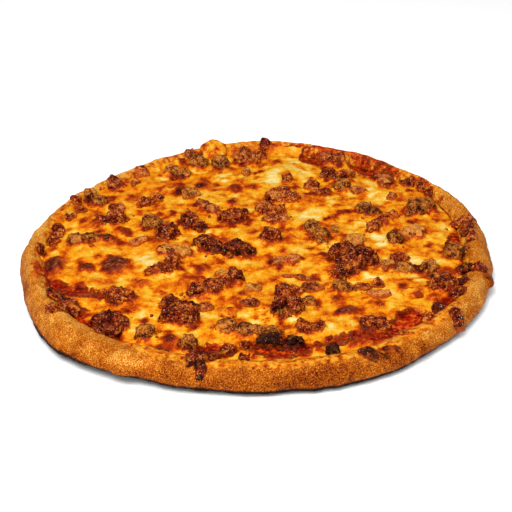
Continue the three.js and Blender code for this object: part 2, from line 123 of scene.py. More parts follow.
# Raised blisters of cheese: x, y, length, width, height, turn in degrees, and how browned.
CHEESE_DOMES = lumps(
    (-147, -27, 17, 24, 4, 0, 1.0), (-102, -27, 22, 24, 3.5, 0, 0.95), (-122, -30, 12, 13, 2.5, 0, 0.75),
    (-101, 21, 15, 12, 2, 0, 0.6), (62, -89, 19, 14, 2.5, 20, 0.9), (-60, 90, 11, 28, 2, 8, 0.5),
    (-43, 100, 15, 23, 2.5, 15, 0.55), (-18, 93, 11, 16, 2, 0, 0.55), (-20, 68, 13, 10, 2, 0, 0.6),
    (57, 43, 11, 14, 2, 0, 0.5), (25, 13, 11, 10, 1.5, 0, 0.5), (-77, 92, 12, 8, 1.5, 0, 0.5),
    (-38, -33, 13, 14, 2, 0, 0.6), (-79, -52, 11, 12, 2, 0, 0.6), (-66, -139, 23, 14, 3, 10, 0.7),
    (-57, -125, 15, 13, 2, 0, 0.55), (-77, -24, 20, 26, 2, 0, -0.5), (115, 62, 30, 26, 1.5, 0, 0.05),
    (20, 120, 40, 30, 1.5, 0, -0.3), (-125, 40, 24, 30, 1.5, 0, 0.0),
)

# Gaps in the cheese where the sauce shows: x, y, length, width, turn.
CHEESE_GAPS = spots(
    (-155, -33, 22, 4, 104), (-143, -51, 20, 7, -26), (-124, -60, 26, 7, -16), (-108, -64, 16, 5, 0),
    (-27, -134, 25, 11, 8), (15, -132, 36, 15, -4), (57, -121, 32, 6, 22), (80, -115, 22, 5, 10),
    (104, -101, 34, 20, 52), (149, 12, 10, 20, 0), (135, -76, 12, 14, 0), (46, 150, 20, 13, -40),
    (90, 130, 32, 12, -42),
)

# Flat marks on the cheese: x, y, length, width, turn, and how browned (below 0: pale and creamy).
CHEESE_MARKS = spots(
    (-40, -48, 10, 9, 0, 0.4), (75, -128, 26, 12, 10, 0.3), (-114, 79, 9, 7, 0, 0.35),
    (-65, 53, 8, 7, 0, 0.35), (-2, 108, 8, 6, 0, 0.3), (4, 123, 7, 6, 0, 0.25), (102, 71, 10, 7, 0, 0.3),
    (120, 91, 9, 7, 0, 0.35), (-77, -99, 10, 8, 0, 0.35), (-92, -89, 11, 8, 0, 0.4),
    (-113, -92, 9, 7, 0, 0.3), (40, -3, 9, 8, 0, 0.3), (-23, 113, 30, 15, 0, -0.5),
    (-48, 124, 20, 10, 0, -0.45), (10, 108, 22, 26, 0, -0.4), (40, 116, 12, 24, 0, -0.5),
    (36, 101, 16, 14, 0, -0.4), (60, 81, 13, 34, 0, -0.5), (90, 88, 12, 20, 0, -0.5),
    (143, 66, 9, 22, 0, -0.45), (-76, 111, 12, 10, 0, -0.35), (-68, 89, 9, 10, 0, -0.35),
    (-36, 21, 18, 16, 0, -0.5), (-50, -4, 14, 12, 0, -0.45), (-145, -2, 22, 16, 0, -0.2),
    (-117, -67, 27, 9, 0, -0.5), (-70, -77, 14, 12, 0, -0.35), (42, 46, 22, 22, 0, -0.45),
    (55, -4, 11, 26, 0, -0.35), (93, 11, 16, 34, 0, -0.55), (82, 38, 18, 24, 0, -0.5),
    (115, -16, 16, 20, 0, -0.4), (85, -44, 19, 17, 0, -0.45), (115, -44, 16, 12, 0, -0.35),
    (101, -29, 12, 10, 0, -0.35), (6, -94, 11, 16, 0, -0.6), (-1, -102, 10, 8, 0, -0.6),
    (24, -98, 12, 8, 0, -0.6), (-15, 81, 12, 12, 0, -0.35), (28, 144, 20, 12, 0, -0.35),
    (-60, -45, 12, 10, 0, -0.3), (-128, 22, 26, 12, 0, -0.15), (95, -78, 26, 10, -8, -0.25),
    (-140, -8, 16, 8, 0, -0.2),
)

# Marks on the rim: x, y, length, width, turn, strength, by what they do to the dough.
RIM_PALE = spots(
    (-88, -154, 22, 11, -28, 0.16), (-130, -110, 40, 16, -52, 0.1), (10, 168, 40, 8, 0, 0.1),
    (-150, 60, 40, 12, 68, 0.12), (100, -148, 30, 9, 30, 0.12),
)
# Dark marks: scorched streaks, and painted shade along the lower front edge.
RIM_SCORCH_AND_SHADE = spots(
    (80, -147, 36, 9, 18, 0.35), (112, -135, 28, 9, 42, 0.2), (98, -146, 20, 8, 30, 0.15),
    (8, -150, 22, 9, 0, 0.25), (40, -168, 60, 12, 8, 0.12), (-120, -146, 60, 10, -40, 0.22),
    (-166, -60, 12, 34, 12, 0.15), (167, -47, 14, 20, 10, 0.35), (60, -160, 40, 10, 16, 0.15),
)
RIM_GREASE = spots(
    (-68, -158, 16, 9, -10, 0.6), (-50, -150, 44, 14, 0, 0.5), (60, -142, 60, 14, 18, 0.6),
    (120, -112, 40, 16, 45, 0.5), (-152, 30, 14, 70, 5, 0.4), (-60, 150, 60, 14, 25, 0.6),
)
RIM_SPLASH = spots(
    (50, 155, 70, 11, -21, 0.5), (96, 131, 60, 11, -40, 0.6), (128, 103, 34, 9, -52, 0.4),
    (16, 162, 30, 9, 0, 0.5), (-156, -40, 10, 24, 12, 0.7), (-38, -148, 24, 10, 0, 0.5),
    (-50, 150, 20, 8, 10, 0.4),
)

# Small bits fused to the cheese: x, y, length, width, height, turn, and how dark (0 to 1).
BUBBLE_BITS = lumps(
    (-35, 156, 22, 16, 8, 0, 0.35), (-20, -92, 12, 14, 4, 0, 0.42), (109, -68, 16, 10, 5, -15, 0.4),
)
HAM_BITS = lumps(
    (-108, 62, 14, 11, 4, 0, 0.5), (-92, 120, 12, 11, 4, 0, 0.45), (-97, 102, 6, 13, 4, -15, 0.4),
    (-88, 7, 17, 10, 3.5, 45, 0.4), (80, 88, 13, 9, 4, 20, 0.5), (106, 79, 11, 8, 3, 45, 0.5),
    (-4, -81, 14, 9, 4, 0, 0.5), (-35, -83, 11, 14, 3.5, 0, 0.4), (40, -59, 16, 12, 4, 10, 0.6),
    (86, -67, 18, 9, 4, -10, 0.1), (131, -43, 22, 8, 4, 10, 0.6), (30, -46, 27, 6, 3, -18, 0.6),
    (-52, 147, 13, 9, 5, 0, 0.5), (-8, 157, 16, 8, 5, -45, 0.5),
)
SAUSAGE_BITS = lumps(
    (-51, 80, 13, 11, 5, 20, 0.2), (-3, -59, 13, 12, 4, 0, 0.2), (36, -76, 11, 12, 4, 0, 0.3),
    (-8, 118, 8, 9, 5, 0, 0.2), (-24, -39, 12, 10, 4, 0, 0.1), (58, 25, 7, 9, 4, 0, 0.2),
    (97, -124, 9, 6, 3, -20, 0.5),
)
CHAR_BITS = lumps(
    (-86, 67, 15, 9, 5, 35, 0.5), (-78, 77, 10, 8, 4, 0, 0.35), (24, 108, 8, 10, 6, 0, 0.5),
    (43, 97, 12, 9, 6, 30, 0.45), (120, 103, 12, 8, 5, 0, 0.6), (136, 85, 7, 8, 5, 0, 0.6),
    (130, 95, 7, 7, 4, 0, 0.5), (4, 150, 8, 8, 6, 0, 0.4), (-140, 67, 7, 7, 4, 0, 0.45),
    (-135, 57, 7, 7, 4, 0, 0.45), (-142, 45, 9, 8, 4, 0, 0.5), (-149, 24, 9, 17, 5, 0, 0.5),
    (-150, 8, 8, 12, 4, 0, 0.5), (86, -54, 8, 7, 4, 0, 0.5), (75, -57, 13, 5, 3, -10, 0.5),
    (125, -87, 10, 10, 6, 0, 0.8), (116, -104, 7, 12, 4, -20, 0.5), (146, -51, 9, 9, 5, 0, 0.8),
    (51, -139, 9, 9, 7, 0, 1.0), (-19, -139, 10, 9, 5, 0, 0.7), (-7, -133, 8, 8, 4, 0, 0.6),
)
# Small bits fused to the rim, in the same way.
RIM_BITS = lumps(
    (7, 165, 10, 8, 6, 0, 0.45), (-157, -9, 9, 10, 5, 0, 0.5), (136, -101, 10, 13, 5, -10, 0.75),
    (73, -150, 16, 9, 2, 0, 0.9), (88, -143, 14, 6, 1.6, 20, 0.8), (-8, -155, 9, 9, 5, 0, 0.7),
)
# Blisters of the dough itself: pale, scorched, dark brown and stained with sauce.
DOUGH_BITS = lumps(
    (-86, -155, 22, 16, 3, -25), (113, -134, 18, 9, 2, 45), (168, -47, 12, 17, 3.5, 10),
    (-160, -45, 9, 20, 2.5, 10),
)

# How dark the single pieces are (0 pale, 1 black); None leaves it to chance.
PIECE_SHADE = {
    "sausage": (0.5, 0.45, 0.4, 0.35, 0.35, 0.5, 0.5, 0.5, 0.5, 0.45, 0.55, -0.1, 0.0, 0.35, 0.45, 0.5,
                0.45, 0.5, 0.4, -0.05, 0.5),
    "beef": (0.5, 0.6, 0.55, None, 0.75, 0.5, None, 0.25, 0.25, 0.5, 0.6, 0.55, 0.4, 0.65, 0.5, 0.5,
             0.6, 0.65, 0.55),
    "bacon": (None, 0.7, 0.7, 1.0, 0.55, 0.55, None, None, 0.5, 0.6, 0.5),
    "ham": (0.4, None, 0.5, 0.5, None, None),
}


SHOWN = 0.68                # share of a colour that shows as written under the stage's bright light


def srgb(red, green, blue):
    """A linear colour with alpha that shows as these 0 to 255 values under the stage's light."""
    def linear(value):
        share = value / 255
        return share / 12.92 if share <= 0.04045 else ((share + 0.055) / 1.055) ** 2.4
    return (SHOWN * linear(red), SHOWN * linear(green), SHOWN * linear(blue), 1.0)


# ---- Settings ------------------------------------------------------------------------------------


def length_setting(name, description, default):
    """A length that the user may change; its default is in millimetres."""
    return bpy.props.FloatProperty(
        name=name, description=description, default=default * MM, unit="LENGTH")


def colour_setting(name, description, *shown):
    """A colour that the user may change; its default is the 0 to 255 values that it shows as."""
    return bpy.props.FloatVectorProperty(
        name=name, description=description, default=srgb(*shown), subtype="COLOR", size=4, min=0, max=1)


class CrustSettings(bpy.types.PropertyGroup):
    """Shape and colours of the baked dough."""

    bearings: bpy.props.IntProperty(
        name="Bearings", description="Facets round the rim", default=900, min=72)
    lump_depth: length_setting("Lump depth", "Height of the broad lumps of the rim", 0.9)
    pore_depth: length_setting("Pore depth", "Height of the fine sandy grain", 0.16)
    golden: colour_setting("Golden", "Colour of the baked ridge", 200, 102, 13)
    dark: colour_setting("Dark", "Colour of the lower edge", 84, 26, 6)


class CheeseSettings(bpy.types.PropertyGroup):
    """Shape and colours of the melted cheese and the sauce under it."""

    rows: bpy.props.IntProperty(
        name="Rows", description="Points across the cheese", default=312, min=40)
    wrinkle_depth: length_setting("Wrinkle depth", "Height of the fine relief", 0.75)
    melted: colour_setting("Melted", "Colour of plain melted cheese", 244, 144, 10)
    cream: colour_setting("Cream", "Colour of the pale patches", 252, 202, 82)
    browned: colour_setting("Browned", "Colour of the browned blisters", 104, 24, 7)
    sauce: colour_setting("Sauce", "Colour of the tomato sauce", 156, 22, 3)


class MeatSettings(bpy.types.PropertyGroup):
    """Fineness and colours of the meats."""

    voxel: length_setting("Voxel", "Size of the facets on the pieces of meat", 0.6)
    sausage: colour_setting("Sausage", "Colour of cooked sausage", 164, 87, 22)
    beef: colour_setting("Beef", "Colour of browned beef", 150, 46, 8)
    bacon: colour_setting("Bacon", "Colour of crisp bacon", 144, 38, 7)
    ham: colour_setting("Ham", "Colour of baked ham", 172, 76, 30)
    crumbs: bpy.props.IntProperty(
        name="Crumbs", description="Loose crumbs of meat on the cheese", default=460, min=0)


class StageSettings(bpy.types.PropertyGroup):
    """Camera, light and floor."""

    elevation: bpy.props.FloatProperty(
        name="Elevation", description="How far the camera looks down", default=math.radians(30),
        subtype="ANGLE")
    distance: length_setting("Distance", "From the camera to the pizza", 1100)
    lens: bpy.props.FloatProperty(
        name="Lens", description="Focal length of the camera in millimetres", default=104.96)
    key_power: bpy.props.FloatProperty(
        name="Key power", description="Power of the small lamp at the front left in watts", default=14.5)
    softbox_power: bpy.props.FloatProperty(
        name="Softbox power", description="Power of the broad overhead softbox in watts", default=37.0)
    fill_power: bpy.props.FloatProperty(
        name="Fill power", description="Power of the low lamp behind the camera in watts", default=2.5)
    sky: bpy.props.FloatProperty(
        name="Sky", description="Strength of the even white surroundings", default=0.18)


# ---- Numbers over the surface --------------------------------------------------------------------


def smoothstep(value, low, high):
    """0 below low, 1 above high, with a smooth rise between them; low may be the larger one."""
    t = np.clip((value - low) / (high - low), 0, 1)
    return t * t * (3 - 2 * t)


CELL_FACTORS = (73856093, 19349663, 83492791)           # large primes that keep neighbours apart
SEED_FACTOR, SEED_START = 2654435761, 12345
MIXING = ((15, 2246822519), (13, 3266489917))           # shifts and factors that scatter the bits
LOW_BITS = np.uint64(0xFFFFFFFF)
FAR_OFF = 1000                                          # keeps the numbers of all cells positive
NOISE_GAIN = 1.7                                        # brings the noise to about -1 to 1
CORNERS = [np.array(corner) for corner in np.ndindex(2, 2, 2)]
NEIGHBOURS = [np.array(step) - 1 for step in np.ndindex(3, 3, 3)]


def scrambled(cell, seed):
    """A repeatable 32-bit number for each whole-numbered cell."""
    parts = [cell[..., axis].astype(np.uint64) * factor for axis, factor in enumerate(CELL_FACTORS)]
    mixed = (sum(parts) + np.uint64(seed * SEED_FACTOR + SEED_START)) & LOW_BITS
    for shift, factor in MIXING:
        mixed ^= mixed >> np.uint64(shift)
        mixed = (mixed * np.uint64(factor)) & LOW_BITS
    return mixed ^ (mixed >> np.uint64(16))


def spread(numbers):
    """Three numbers from 0 to 1 out of each scrambled one, from ten of its bits each."""
    parts = [(numbers >> np.uint64(shift)) & np.uint64(1023) for shift in (0, 10, 20)]
    return np.stack(parts, axis=-1).astype(float) / 1023


def noise(points, size, seed=0):
    """A smooth field of about -1 to 1 with lumps of that size, at points of three coordinates."""
    place = points / size + FAR_OFF
    cell = np.floor(place).astype(np.int64)
    part = place - cell
    fade = part ** 3 * (part * (part * 6 - 15) + 10)
    total = np.zeros(len(points))
    for corner in CORNERS:
        slope = spread(scrambled(cell + corner, seed)) * 2 - 1
        weight = np.prod(np.where(corner == 1, fade, 1 - fade), axis=1)
        total += weight * ((part - corner) * slope).sum(axis=1)
    return total * NOISE_GAIN


def cells(points, size, seed=0):
    """Distance to the nearest of scattered grains that size apart: 0 at a grain, about 1 between."""
    place = points / size + FAR_OFF
    cell = np.floor(place).astype(np.int64)
    nearest = np.full(len(points), 9.0)
    for step in NEIGHBOURS:
        grain = cell + step + spread(scrambled(cell + step, seed))
        nearest = np.minimum(nearest, ((place - grain) ** 2).sum(axis=1))
    return np.sqrt(nearest)


def layered(points, size, seed, octaves=3, keep=0.5):
    """Noise of halving size, each layer weaker than the last."""
    return sum(keep ** k * noise(points, size / 2 ** k, seed + k) for k in range(octaves))


def noise_vector(points, size, seed):
    """A smooth shift in all three directions."""
    return np.stack([noise(points, size, seed + 11 * axis) for axis in range(3)], axis=-1)


def curve(a, b, c, d, t):
    """The smooth curve through four values, from b where t is 0 to c where t is 1."""
    bend = t * (2 * a - 5 * b + 4 * c - d + t * (3 * (b - c) + d - a))
    return b + 0.5 * t * (c - a + bend)


def around(values, angle):
    """A smooth closed curve through values given at equal steps round the pizza."""
    values = np.asarray(values, float)
    place = (angle / math.tau) % 1 * len(values)
    index = np.floor(place).astype(int)
    return curve(*(values[(index + step) % len(values)] for step in (-1, 0, 1, 2)), place - index)


def flat(x, y):
    """Points of three coordinates at level places."""
    return np.stack([x, y, np.zeros_like(x)], axis=-1).reshape(-1, 3)


def over(field, x, y, *settings):
    """A field of three coordinates at level places, in the shape of x and y."""
    return field(flat(x, y), *settings).reshape(x.shape)


def warped(x, y, size, depth, seed):
    """Places shifted by noise, so that round marks get ragged edges."""
    return (x + depth * over(layered, x, y, size, seed, 2),
            y + depth * over(layered, x, y, size, seed + 7, 2))


def ellipse_distance(x, y, ellipse):
    """Distance from the middle of a spot or lump, 1 on its edge."""
    cos, sin = math.cos(math.radians(ellipse.turn)), math.sin(math.radians(ellipse.turn))
    along = ((x - ellipse.x) * cos + (y - ellipse.y) * sin) / (ellipse.length / 2)
    across = ((y - ellipse.y) * cos - (x - ellipse.x) * sin) / (ellipse.width / 2)
    return np.hypot(along, across)


def soft(x, y, ellipse, inner, outer):
    """1 within the inner share of a spot or lump, fading to 0 at the outer share."""
    return smoothstep(ellipse_distance(x, y, ellipse), outer, inner)


def marked(x, y, marks):
    """Sum of soft spots."""
    return sum(mark.strength * soft(x, y, mark, 0.35, 1.25) for mark in marks)


def strongest(x, y, marks):
    """The strongest soft spot at each place."""
    return np.max([mark.strength * soft(x, y, mark, 0.5, 1.2) for mark in marks], axis=0)


# ---- Form of the crust and the cheese ------------------------------------------------------------


def outline_radius(angle):
    """Outer edge of the crust, a little wavy."""
    return around(OUTLINE_RADIUS, angle) + RIM_WAVE * np.sin(17 * angle + 0.6) * np.sin(5 * angle)


def rim_inset(x, y):
    """How far each place lies inside the crust's outer edge."""
    return outline_radius(np.arctan2(y, x)) - np.hypot(x, y)


def crust_section(angle):
    """Radius and height of the section's corners at each angle, as (10, N) arrays."""
    outer, width, crest = outline_radius(angle), around(RIM_WIDTH, angle), around(CREST_HEIGHT, angle)
    away = np.abs((np.degrees(angle) - LIFT_BEARING + 540) % 360 - 180)
    lift = EDGE_LIFT * np.exp(-((away / LIFT_SPREAD) ** 2))
    radius = [outer - inset - share * width for inset, share, *_ in CRUST_SECTION]
    height = [rise + lifted * lift + crested * crest for *_, rise, lifted, crested in CRUST_SECTION]
    return np.array(radius), np.array(height)


def crust_top(x, y):
    """Height of the crust's upper side."""
    distance = np.hypot(x, y)
    radius, height = crust_section(np.arctan2(y, x))
    top = np.full_like(x, BED_HEIGHT)
    for corner in range(OUTERMOST, len(radius) - 1):
        t = (distance - radius[corner + 1]) / (radius[corner] - radius[corner + 1])
        here = (t > 0) & (t <= 1)
        top = np.where(here, height[corner + 1] + t * (height[corner] - height[corner + 1]), top)
    return np.where(distance > radius[OUTERMOST], height[OUTERMOST], top)


RAGGED_RING, RAGGED_DEPTH = 40, 2.6                     # on which ring and how deep the edge wavers


def cheese_outline(angle):
    """Outer edge of the cheese, a little ragged."""
    ragged = over(layered, RAGGED_RING * np.cos(angle), RAGGED_RING * np.sin(angle), 5, 61, 3)
    return around(CHEESE_RADIUS, angle) + RAGGED_DEPTH * ragged


def cheese_inset(x, y):
    """How far each place lies inside the edge of the cheese."""
    return cheese_outline(np.arctan2(y, x)) - np.hypot(x, y)


def cheese_relief(x, y):
    """Swell and blisters of the melted surface."""
    swell = np.sin(x / 17 + 1.3) * np.sin(y / 15 + 0.4) + 0.6 * np.sin((x + 1.7 * y) / 12)
    domes = sum(dome.height * np.maximum(0, 1 - 0.8 * ellipse_distance(x, y, dome) ** 2)
                for dome in CHEESE_DOMES)
    return SURFACE_SWELL * swell + domes


def cheese_top(x, y):
    """Height of the cheese over the sauce and the rim's slope, thinning out to nothing at its edge."""
    inset = cheese_inset(x, y)
    full = smoothstep(inset, 0, CHEESE_TAPER)
    edge = 1.5 * smoothstep(inset, -0.5, 3.5) - 0.7
    carried = np.maximum(SAUCE_TOP, crust_top(x, y))
    return carried + edge * (1 - full) + (CHEESE_THICKNESS + cheese_relief(x, y)) * full


def gap_depth(x, y):
    """1 inside the gaps of the cheese, 0 outside, with ragged edges."""
    wavy = warped(x, y, 6, 1.6, 81)
    return np.max([soft(*wavy, gap, 0.82, 1.18) for gap in CHEESE_GAPS], axis=0)


# ---- Meshes --------------------------------------------------------------------------------------


def disc_grid(count):
    """A square grid of points bent into a disc of radius 1."""
    side = np.linspace(-1, 1, count)
    u, v = np.meshgrid(side, side)
    wide = np.abs(u) > np.abs(v)
    radius = np.where(wide, u, v)
    base = np.where(radius == 0, 1, radius)
    angle = np.where(wide, v / base * math.pi / 4, math.pi / 2 - u / base * math.pi / 4)
    return radius * np.cos(angle), radius * np.sin(angle)


def quads(*corners):
    """Four-sided faces from the grids of their corners."""
    return np.stack([corner.ravel() for corner in corners], axis=-1).tolist()


def tube_faces(rings, sides):
    """Faces between closed rings of points, facing out."""
    index = np.arange(rings * sides).reshape(rings, sides)
    after = np.roll(index, -1, axis=1)
    return quads(index[:-1], after[:-1], after[1:], index[1:])


SKIRT_INSET = 0.985


def closed_sheet(points, count, floor):
    """A disc grid's points made into a closed body by a skirt and a floor under it."""
    index = np.arange(count * count).reshape(count, count)
    faces = quads(index[:-1, :-1], index[:-1, 1:], index[1:, 1:], index[1:, :-1])
    edge = np.concatenate([index[0, :-1], index[:-1, -1], index[-1, :0:-1], index[:0:-1, 0]])
    low = points[edge] * (SKIRT_INSET, SKIRT_INSET, 0) + (0, 0, floor)
    start = len(points)
    points = np.vstack([points, low, [[0, 0, floor]]])
    for step, top in enumerate(edge.tolist()):
        after = (step + 1) % len(edge)
        faces.append([top, start + step, start + after, int(edge[after])])
        faces.append([start + after, start + step, len(points) - 1])
    return points, faces


def new_mesh(name, points, faces):
    """A smooth-shaded mesh from points in millimetres."""
    mesh = bpy.data.meshes.new(name)
    mesh.from_pydata((np.asarray(points) * MM).tolist(), [], faces)
    mesh.shade_smooth()
    return mesh


def vectors_of(mesh, name):
    """One vector for each point of a mesh."""
    vectors = np.empty(len(mesh.vertices) * 3)
    mesh.vertices.foreach_get(name, vectors)
    return vectors.reshape(-1, 3)


def points_of(mesh):
    """A mesh's points in millimetres."""
    return vectors_of(mesh, "co") / MM


def move_points(mesh, points):
    """Moves a mesh's points to those places in millimetres."""
    mesh.vertices.foreach_set("co", (points * MM).ravel())
    mesh.update()


def paint_field(mesh, name, values):
    """Keeps one number for each point, for the material to read."""
    field = mesh.attributes.new(name, "FLOAT", "POINT")
    field.data.foreach_set("value", np.asarray(values, np.float32).ravel())


def serve(name, mesh, material, nodes):
    """Places a finished mesh as a piece that stands for those solids."""
    piece = bpy.data.objects.new(name, mesh)
    bpy.context.scene.collection.objects.link(piece)
    mesh.materials.append(material)
    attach(piece, "root")
    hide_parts(*nodes)


# ---- Materials -----------------------------------------------------------------------------------


class Channel:
    """A number socket of a recipe, on which arithmetic adds Math nodes."""

    def __init__(self, recipe, socket):
        self.recipe = recipe
        self.socket = socket

    def _math(self, operation, first, second, clamped=False):
        settings = {"operation": operation, "use_clamp": clamped}
        return self.recipe.add("ShaderNodeMath", settings, {0: first, 1: second})

    def __add__(self, other):
        return self._math("ADD", self, other)

    def __radd__(self, other):
        return self._math("ADD", other, self)

    def __sub__(self, other):
        return self._math("SUBTRACT", self, other)

    def __rsub__(self, other):
        return self._math("SUBTRACT", other, self)

    def __mul__(self, other):
        return self._math("MULTIPLY", self, other)

    def __rmul__(self, other):
        return self._math("MULTIPLY", other, self)

    def swing(self, depth):
        """A noise's swing about its middle of one half, made that deep."""
        return (self - 0.5) * depth

    def clamped(self):
        """The number kept between 0 and 1."""
        return self._math("ADD", self, 0.0, clamped=True)

    def step(self, low, high):
        """0 below low, 1 above high and smooth between."""
        values = {"Value": self, "From Min": low, "From Max": high, "To Min": 0.0, "To Max": 1.0}
        return self.recipe.add("ShaderNodeMapRange", {"interpolation_type": "SMOOTHSTEP"}, values)


class Recipe:
    """The node tree of one material."""

    def __init__(self, name):
        self.material = bpy.data.materials.new(name)
        self.material.use_nodes = True
        self.tree = self.material.node_tree
        self.tree.nodes.clear()
        self.place = self.add("ShaderNodeTexCoord", output="Object")

    def add(self, kind, settings=None, values=None, output=0):
        """One node: its settings first, then the values or links of its sockets."""
        node = self.tree.nodes.new(kind)
        for name, value in (settings or {}).items():
            if name == "stops":
                self._set_stops(node.color_ramp, value)
            else:
                setattr(node, name, value)
        for name, value in (values or {}).items():
            if isinstance(value, Channel):
                self.tree.links.new(value.socket, node.inputs[name])
            else:
                node.inputs[name].default_value = value
        return Channel(self, node.outputs[output]) if node.outputs else None

    @staticmethod
    def _set_stops(ramp, stops):
        """Gives a colour ramp its positions and colours."""
        while len(ramp.elements) < len(stops):
            ramp.elements.new(0.5)
        for element, (position, colour) in zip(ramp.elements, stops):
            element.position = position
            element.color = colour

    def field(self, name):
        """A number kept at each point of the mesh."""
        return self.add("ShaderNodeAttribute", {"attribute_name": name}, output="Fac")

    def noise(self, size, detail=3.0, roughness=0.55, distortion=0.0):
        """Noise with lumps of that size in millimetres, about 0.5 on average."""
        values = {"Vector": self.place, "Scale": 1 / (size * MM), "Detail": detail,
                  "Roughness": roughness, "Distortion": distortion}
        return self.add("ShaderNodeTexNoise", {"noise_dimensions": "3D"}, values)

    def grains(self, size):
        """Distance from grains that size apart, in millimetres."""
        values = {"Vector": self.place, "Scale": 1 / (size * MM), "Randomness": 1.0}
        return self.add("ShaderNodeTexVoronoi", {"feature": "F1"}, values)

    def specks(self, size, outer, inner, patches, full=0.62):
        """Specks on grains that size apart, only in scattered patches of the other size."""
        return self.grains(size).step(outer, inner) * self.noise(patches).step(0.5, full)

    def ramp(self, factor, stops):
        """The colour at that number on a ramp of positions and colours."""
        return self.add("ShaderNodeValToRGB", {"stops": stops}, {"Fac": factor})

    def mix(self, factor, first, second):
        """Colours mixed by a number."""
        settings = {"data_type": "RGBA", "blend_type": "MIX"}
        return self.add("ShaderNodeMix", settings, {0: factor, 6: first, 7: second}, output=2)

    def bump(self, height, depth, strength):
        """The normal over a relief that many millimetres deep."""
        values = {"Height": height, "Distance": depth * MM, "Strength": strength}
        return self.add("ShaderNodeBump", None, values, output="Normal")

    def finish(self, colour, roughness, normal, specular, tint=(1.0, 1.0, 1.0, 1.0)):
        """The surface shader and the output."""
        values = {"Base Color": colour, "Roughness": roughness, "Normal": normal,
                  "Specular IOR Level": specular, "Specular Tint": tint}
        shader = self.add("ShaderNodeBsdfPrincipled", None, values)
        self.add("ShaderNodeOutputMaterial", None, {"Surface": shader})
        return self.material


OILY_TINT = (1.0, 0.8, 0.5, 1.0)        # the warm shine of oil
SAUCE_TINT = (1.0, 0.7, 0.5, 1.0)
MEAT_TINT = (1.0, 0.8, 0.6, 1.0)


def crust_recipe(settings):
    """Baked dough: golden and sandy, darker low down from baking and painted shade, stained with grease,
    cheese and sauce.
    """
    recipe = Recipe("baked_dough")
    sand = recipe.noise(0.85, 3.0, 0.72)
    grit = recipe.grains(1.0).step(0.0, 0.42)
    blotch = recipe.noise(4.5, 2.0)
    cloud = recipe.noise(14, 3.0, 0.6)
    stain = recipe.noise(2.4, 3, 0.7)
    # How baked the dough is, with painted shade on its outer side and lower edge.
    baked = recipe.field("bake")
    bake = baked + sand.swing(2.3) + blotch.swing(0.4) + cloud.swing(0.4)
    colour = recipe.ramp(bake.clamped(), [
        (0.0, srgb(248, 192, 96)), (0.18, srgb(230, 146, 38)), (0.36, tuple(settings.golden)),
        (0.52, srgb(172, 78, 9)), (0.68, srgb(130, 48, 6)), (0.84, tuple(settings.dark)),
        (1.0, srgb(30, 9, 4)),
    ])
    flour = (1 - grit) * 0.4 * (1 - baked.step(0.45, 0.8))
    colour = recipe.mix(flour, colour, srgb(244, 170, 66))
    grease = (recipe.field("grease") + recipe.noise(3.2).swing(1.2)).step(0.3, 0.85)
    colour = recipe.mix(grease * 0.5, colour, srgb(214, 96, 8))
    film = (recipe.field("film") + stain.swing(1.2)).step(0.2, 0.75)
    melt = recipe.ramp(recipe.noise(4.0, 3.0, 0.6) + stain.swing(0.4), [
        (0.38, srgb(250, 184, 60)), (0.49, srgb(240, 140, 20)), (0.57, srgb(214, 94, 8)),
        (0.65, srgb(158, 50, 8)), (0.72, srgb(110, 28, 8)),
    ])
    colour = recipe.mix(film * 0.85, colour, melt)
    patchy = stain.swing(1.6) + recipe.noise(7, 2.0).swing(3.0)
    splashed = recipe.field("splash")
    splash = (splashed + patchy).step(0.35, 0.6) * splashed.step(0.05, 0.3)
    red = recipe.ramp(stain + blotch.swing(0.9), [
        (0.36, srgb(96, 8, 3)), (0.5, srgb(176, 22, 8)), (0.66, srgb(228, 92, 20)),
    ])
    colour = recipe.mix(splash * 0.92, colour, red)
    colour = recipe.mix(recipe.specks(3.4, 0.13, 0.08, 9) * 0.7, colour, srgb(72, 26, 10))
    normal = recipe.bump(sand + grit * 0.4, 0.45, 0.9)
    return recipe.finish(colour, 0.66 - grease * 0.28 - splash * 0.2, normal, 0.06, OILY_TINT)


def cheese_recipe(settings):
    """Melted cheese: cream, orange-yellow and red-brown by how toasted it is, oily on top, with painted
    glints.
    """
    recipe = Recipe("melted_cheese")
    fine = recipe.noise(1.3, 3.0, 0.7)
    mottle = recipe.noise(2.6, 4.0, 0.65)
    toast = recipe.field("toast") + fine.swing(0.6) + recipe.noise(5.5, 3.0, 0.55, 0.5).swing(0.4)
    colour = recipe.ramp(toast.clamped(), [
        (0.0, srgb(254, 226, 144)), (0.14, tuple(settings.cream)), (0.27, srgb(252, 178, 30)),
        (0.4, tuple(settings.melted)), (0.52, srgb(222, 98, 4)), (0.63, srgb(178, 58, 4)),
        (0.75, srgb(136, 36, 5)), (0.88, tuple(settings.browned)), (1.0, srgb(60, 12, 5)),
    ])
    blister = (recipe.field("blister") + mottle.swing(1.6)).step(0.3, 1.0)
    skin = recipe.ramp(mottle, [
        (0.34, srgb(46, 9, 4)), (0.46, srgb(94, 31, 14)), (0.56, srgb(134, 60, 32)),
        (0.68, srgb(196, 114, 66)),
    ])
    colour = recipe.mix(blister * 0.8, colour, skin)
    sauced = (recipe.field("sauced") + mottle.swing(1.6)).step(0.3, 0.7)
    red = recipe.ramp(mottle, [(0.34, srgb(56, 4, 3)), (0.5, srgb(124, 12, 5)), (0.66, srgb(204, 58, 10))])
    colour = recipe.mix(sauced * 0.95, colour, red)
    colour = recipe.mix(recipe.specks(2.4, 0.24, 0.12, 7.0) * 0.75, colour, srgb(136, 42, 8))
    # Painted highlights: small bright glints on the oily cheese.
    colour = recipe.mix(recipe.specks(1.9, 0.24, 0.1, 4.0) * 0.6, colour, srgb(255, 222, 130))
    normal = recipe.bump(fine * 0.7 + recipe.noise(0.9, 2.0) * 0.4, 0.6, 0.8)
    return recipe.finish(colour, 0.2 + recipe.noise(3.4, 2.0) * 0.45, normal, 0.1, OILY_TINT)


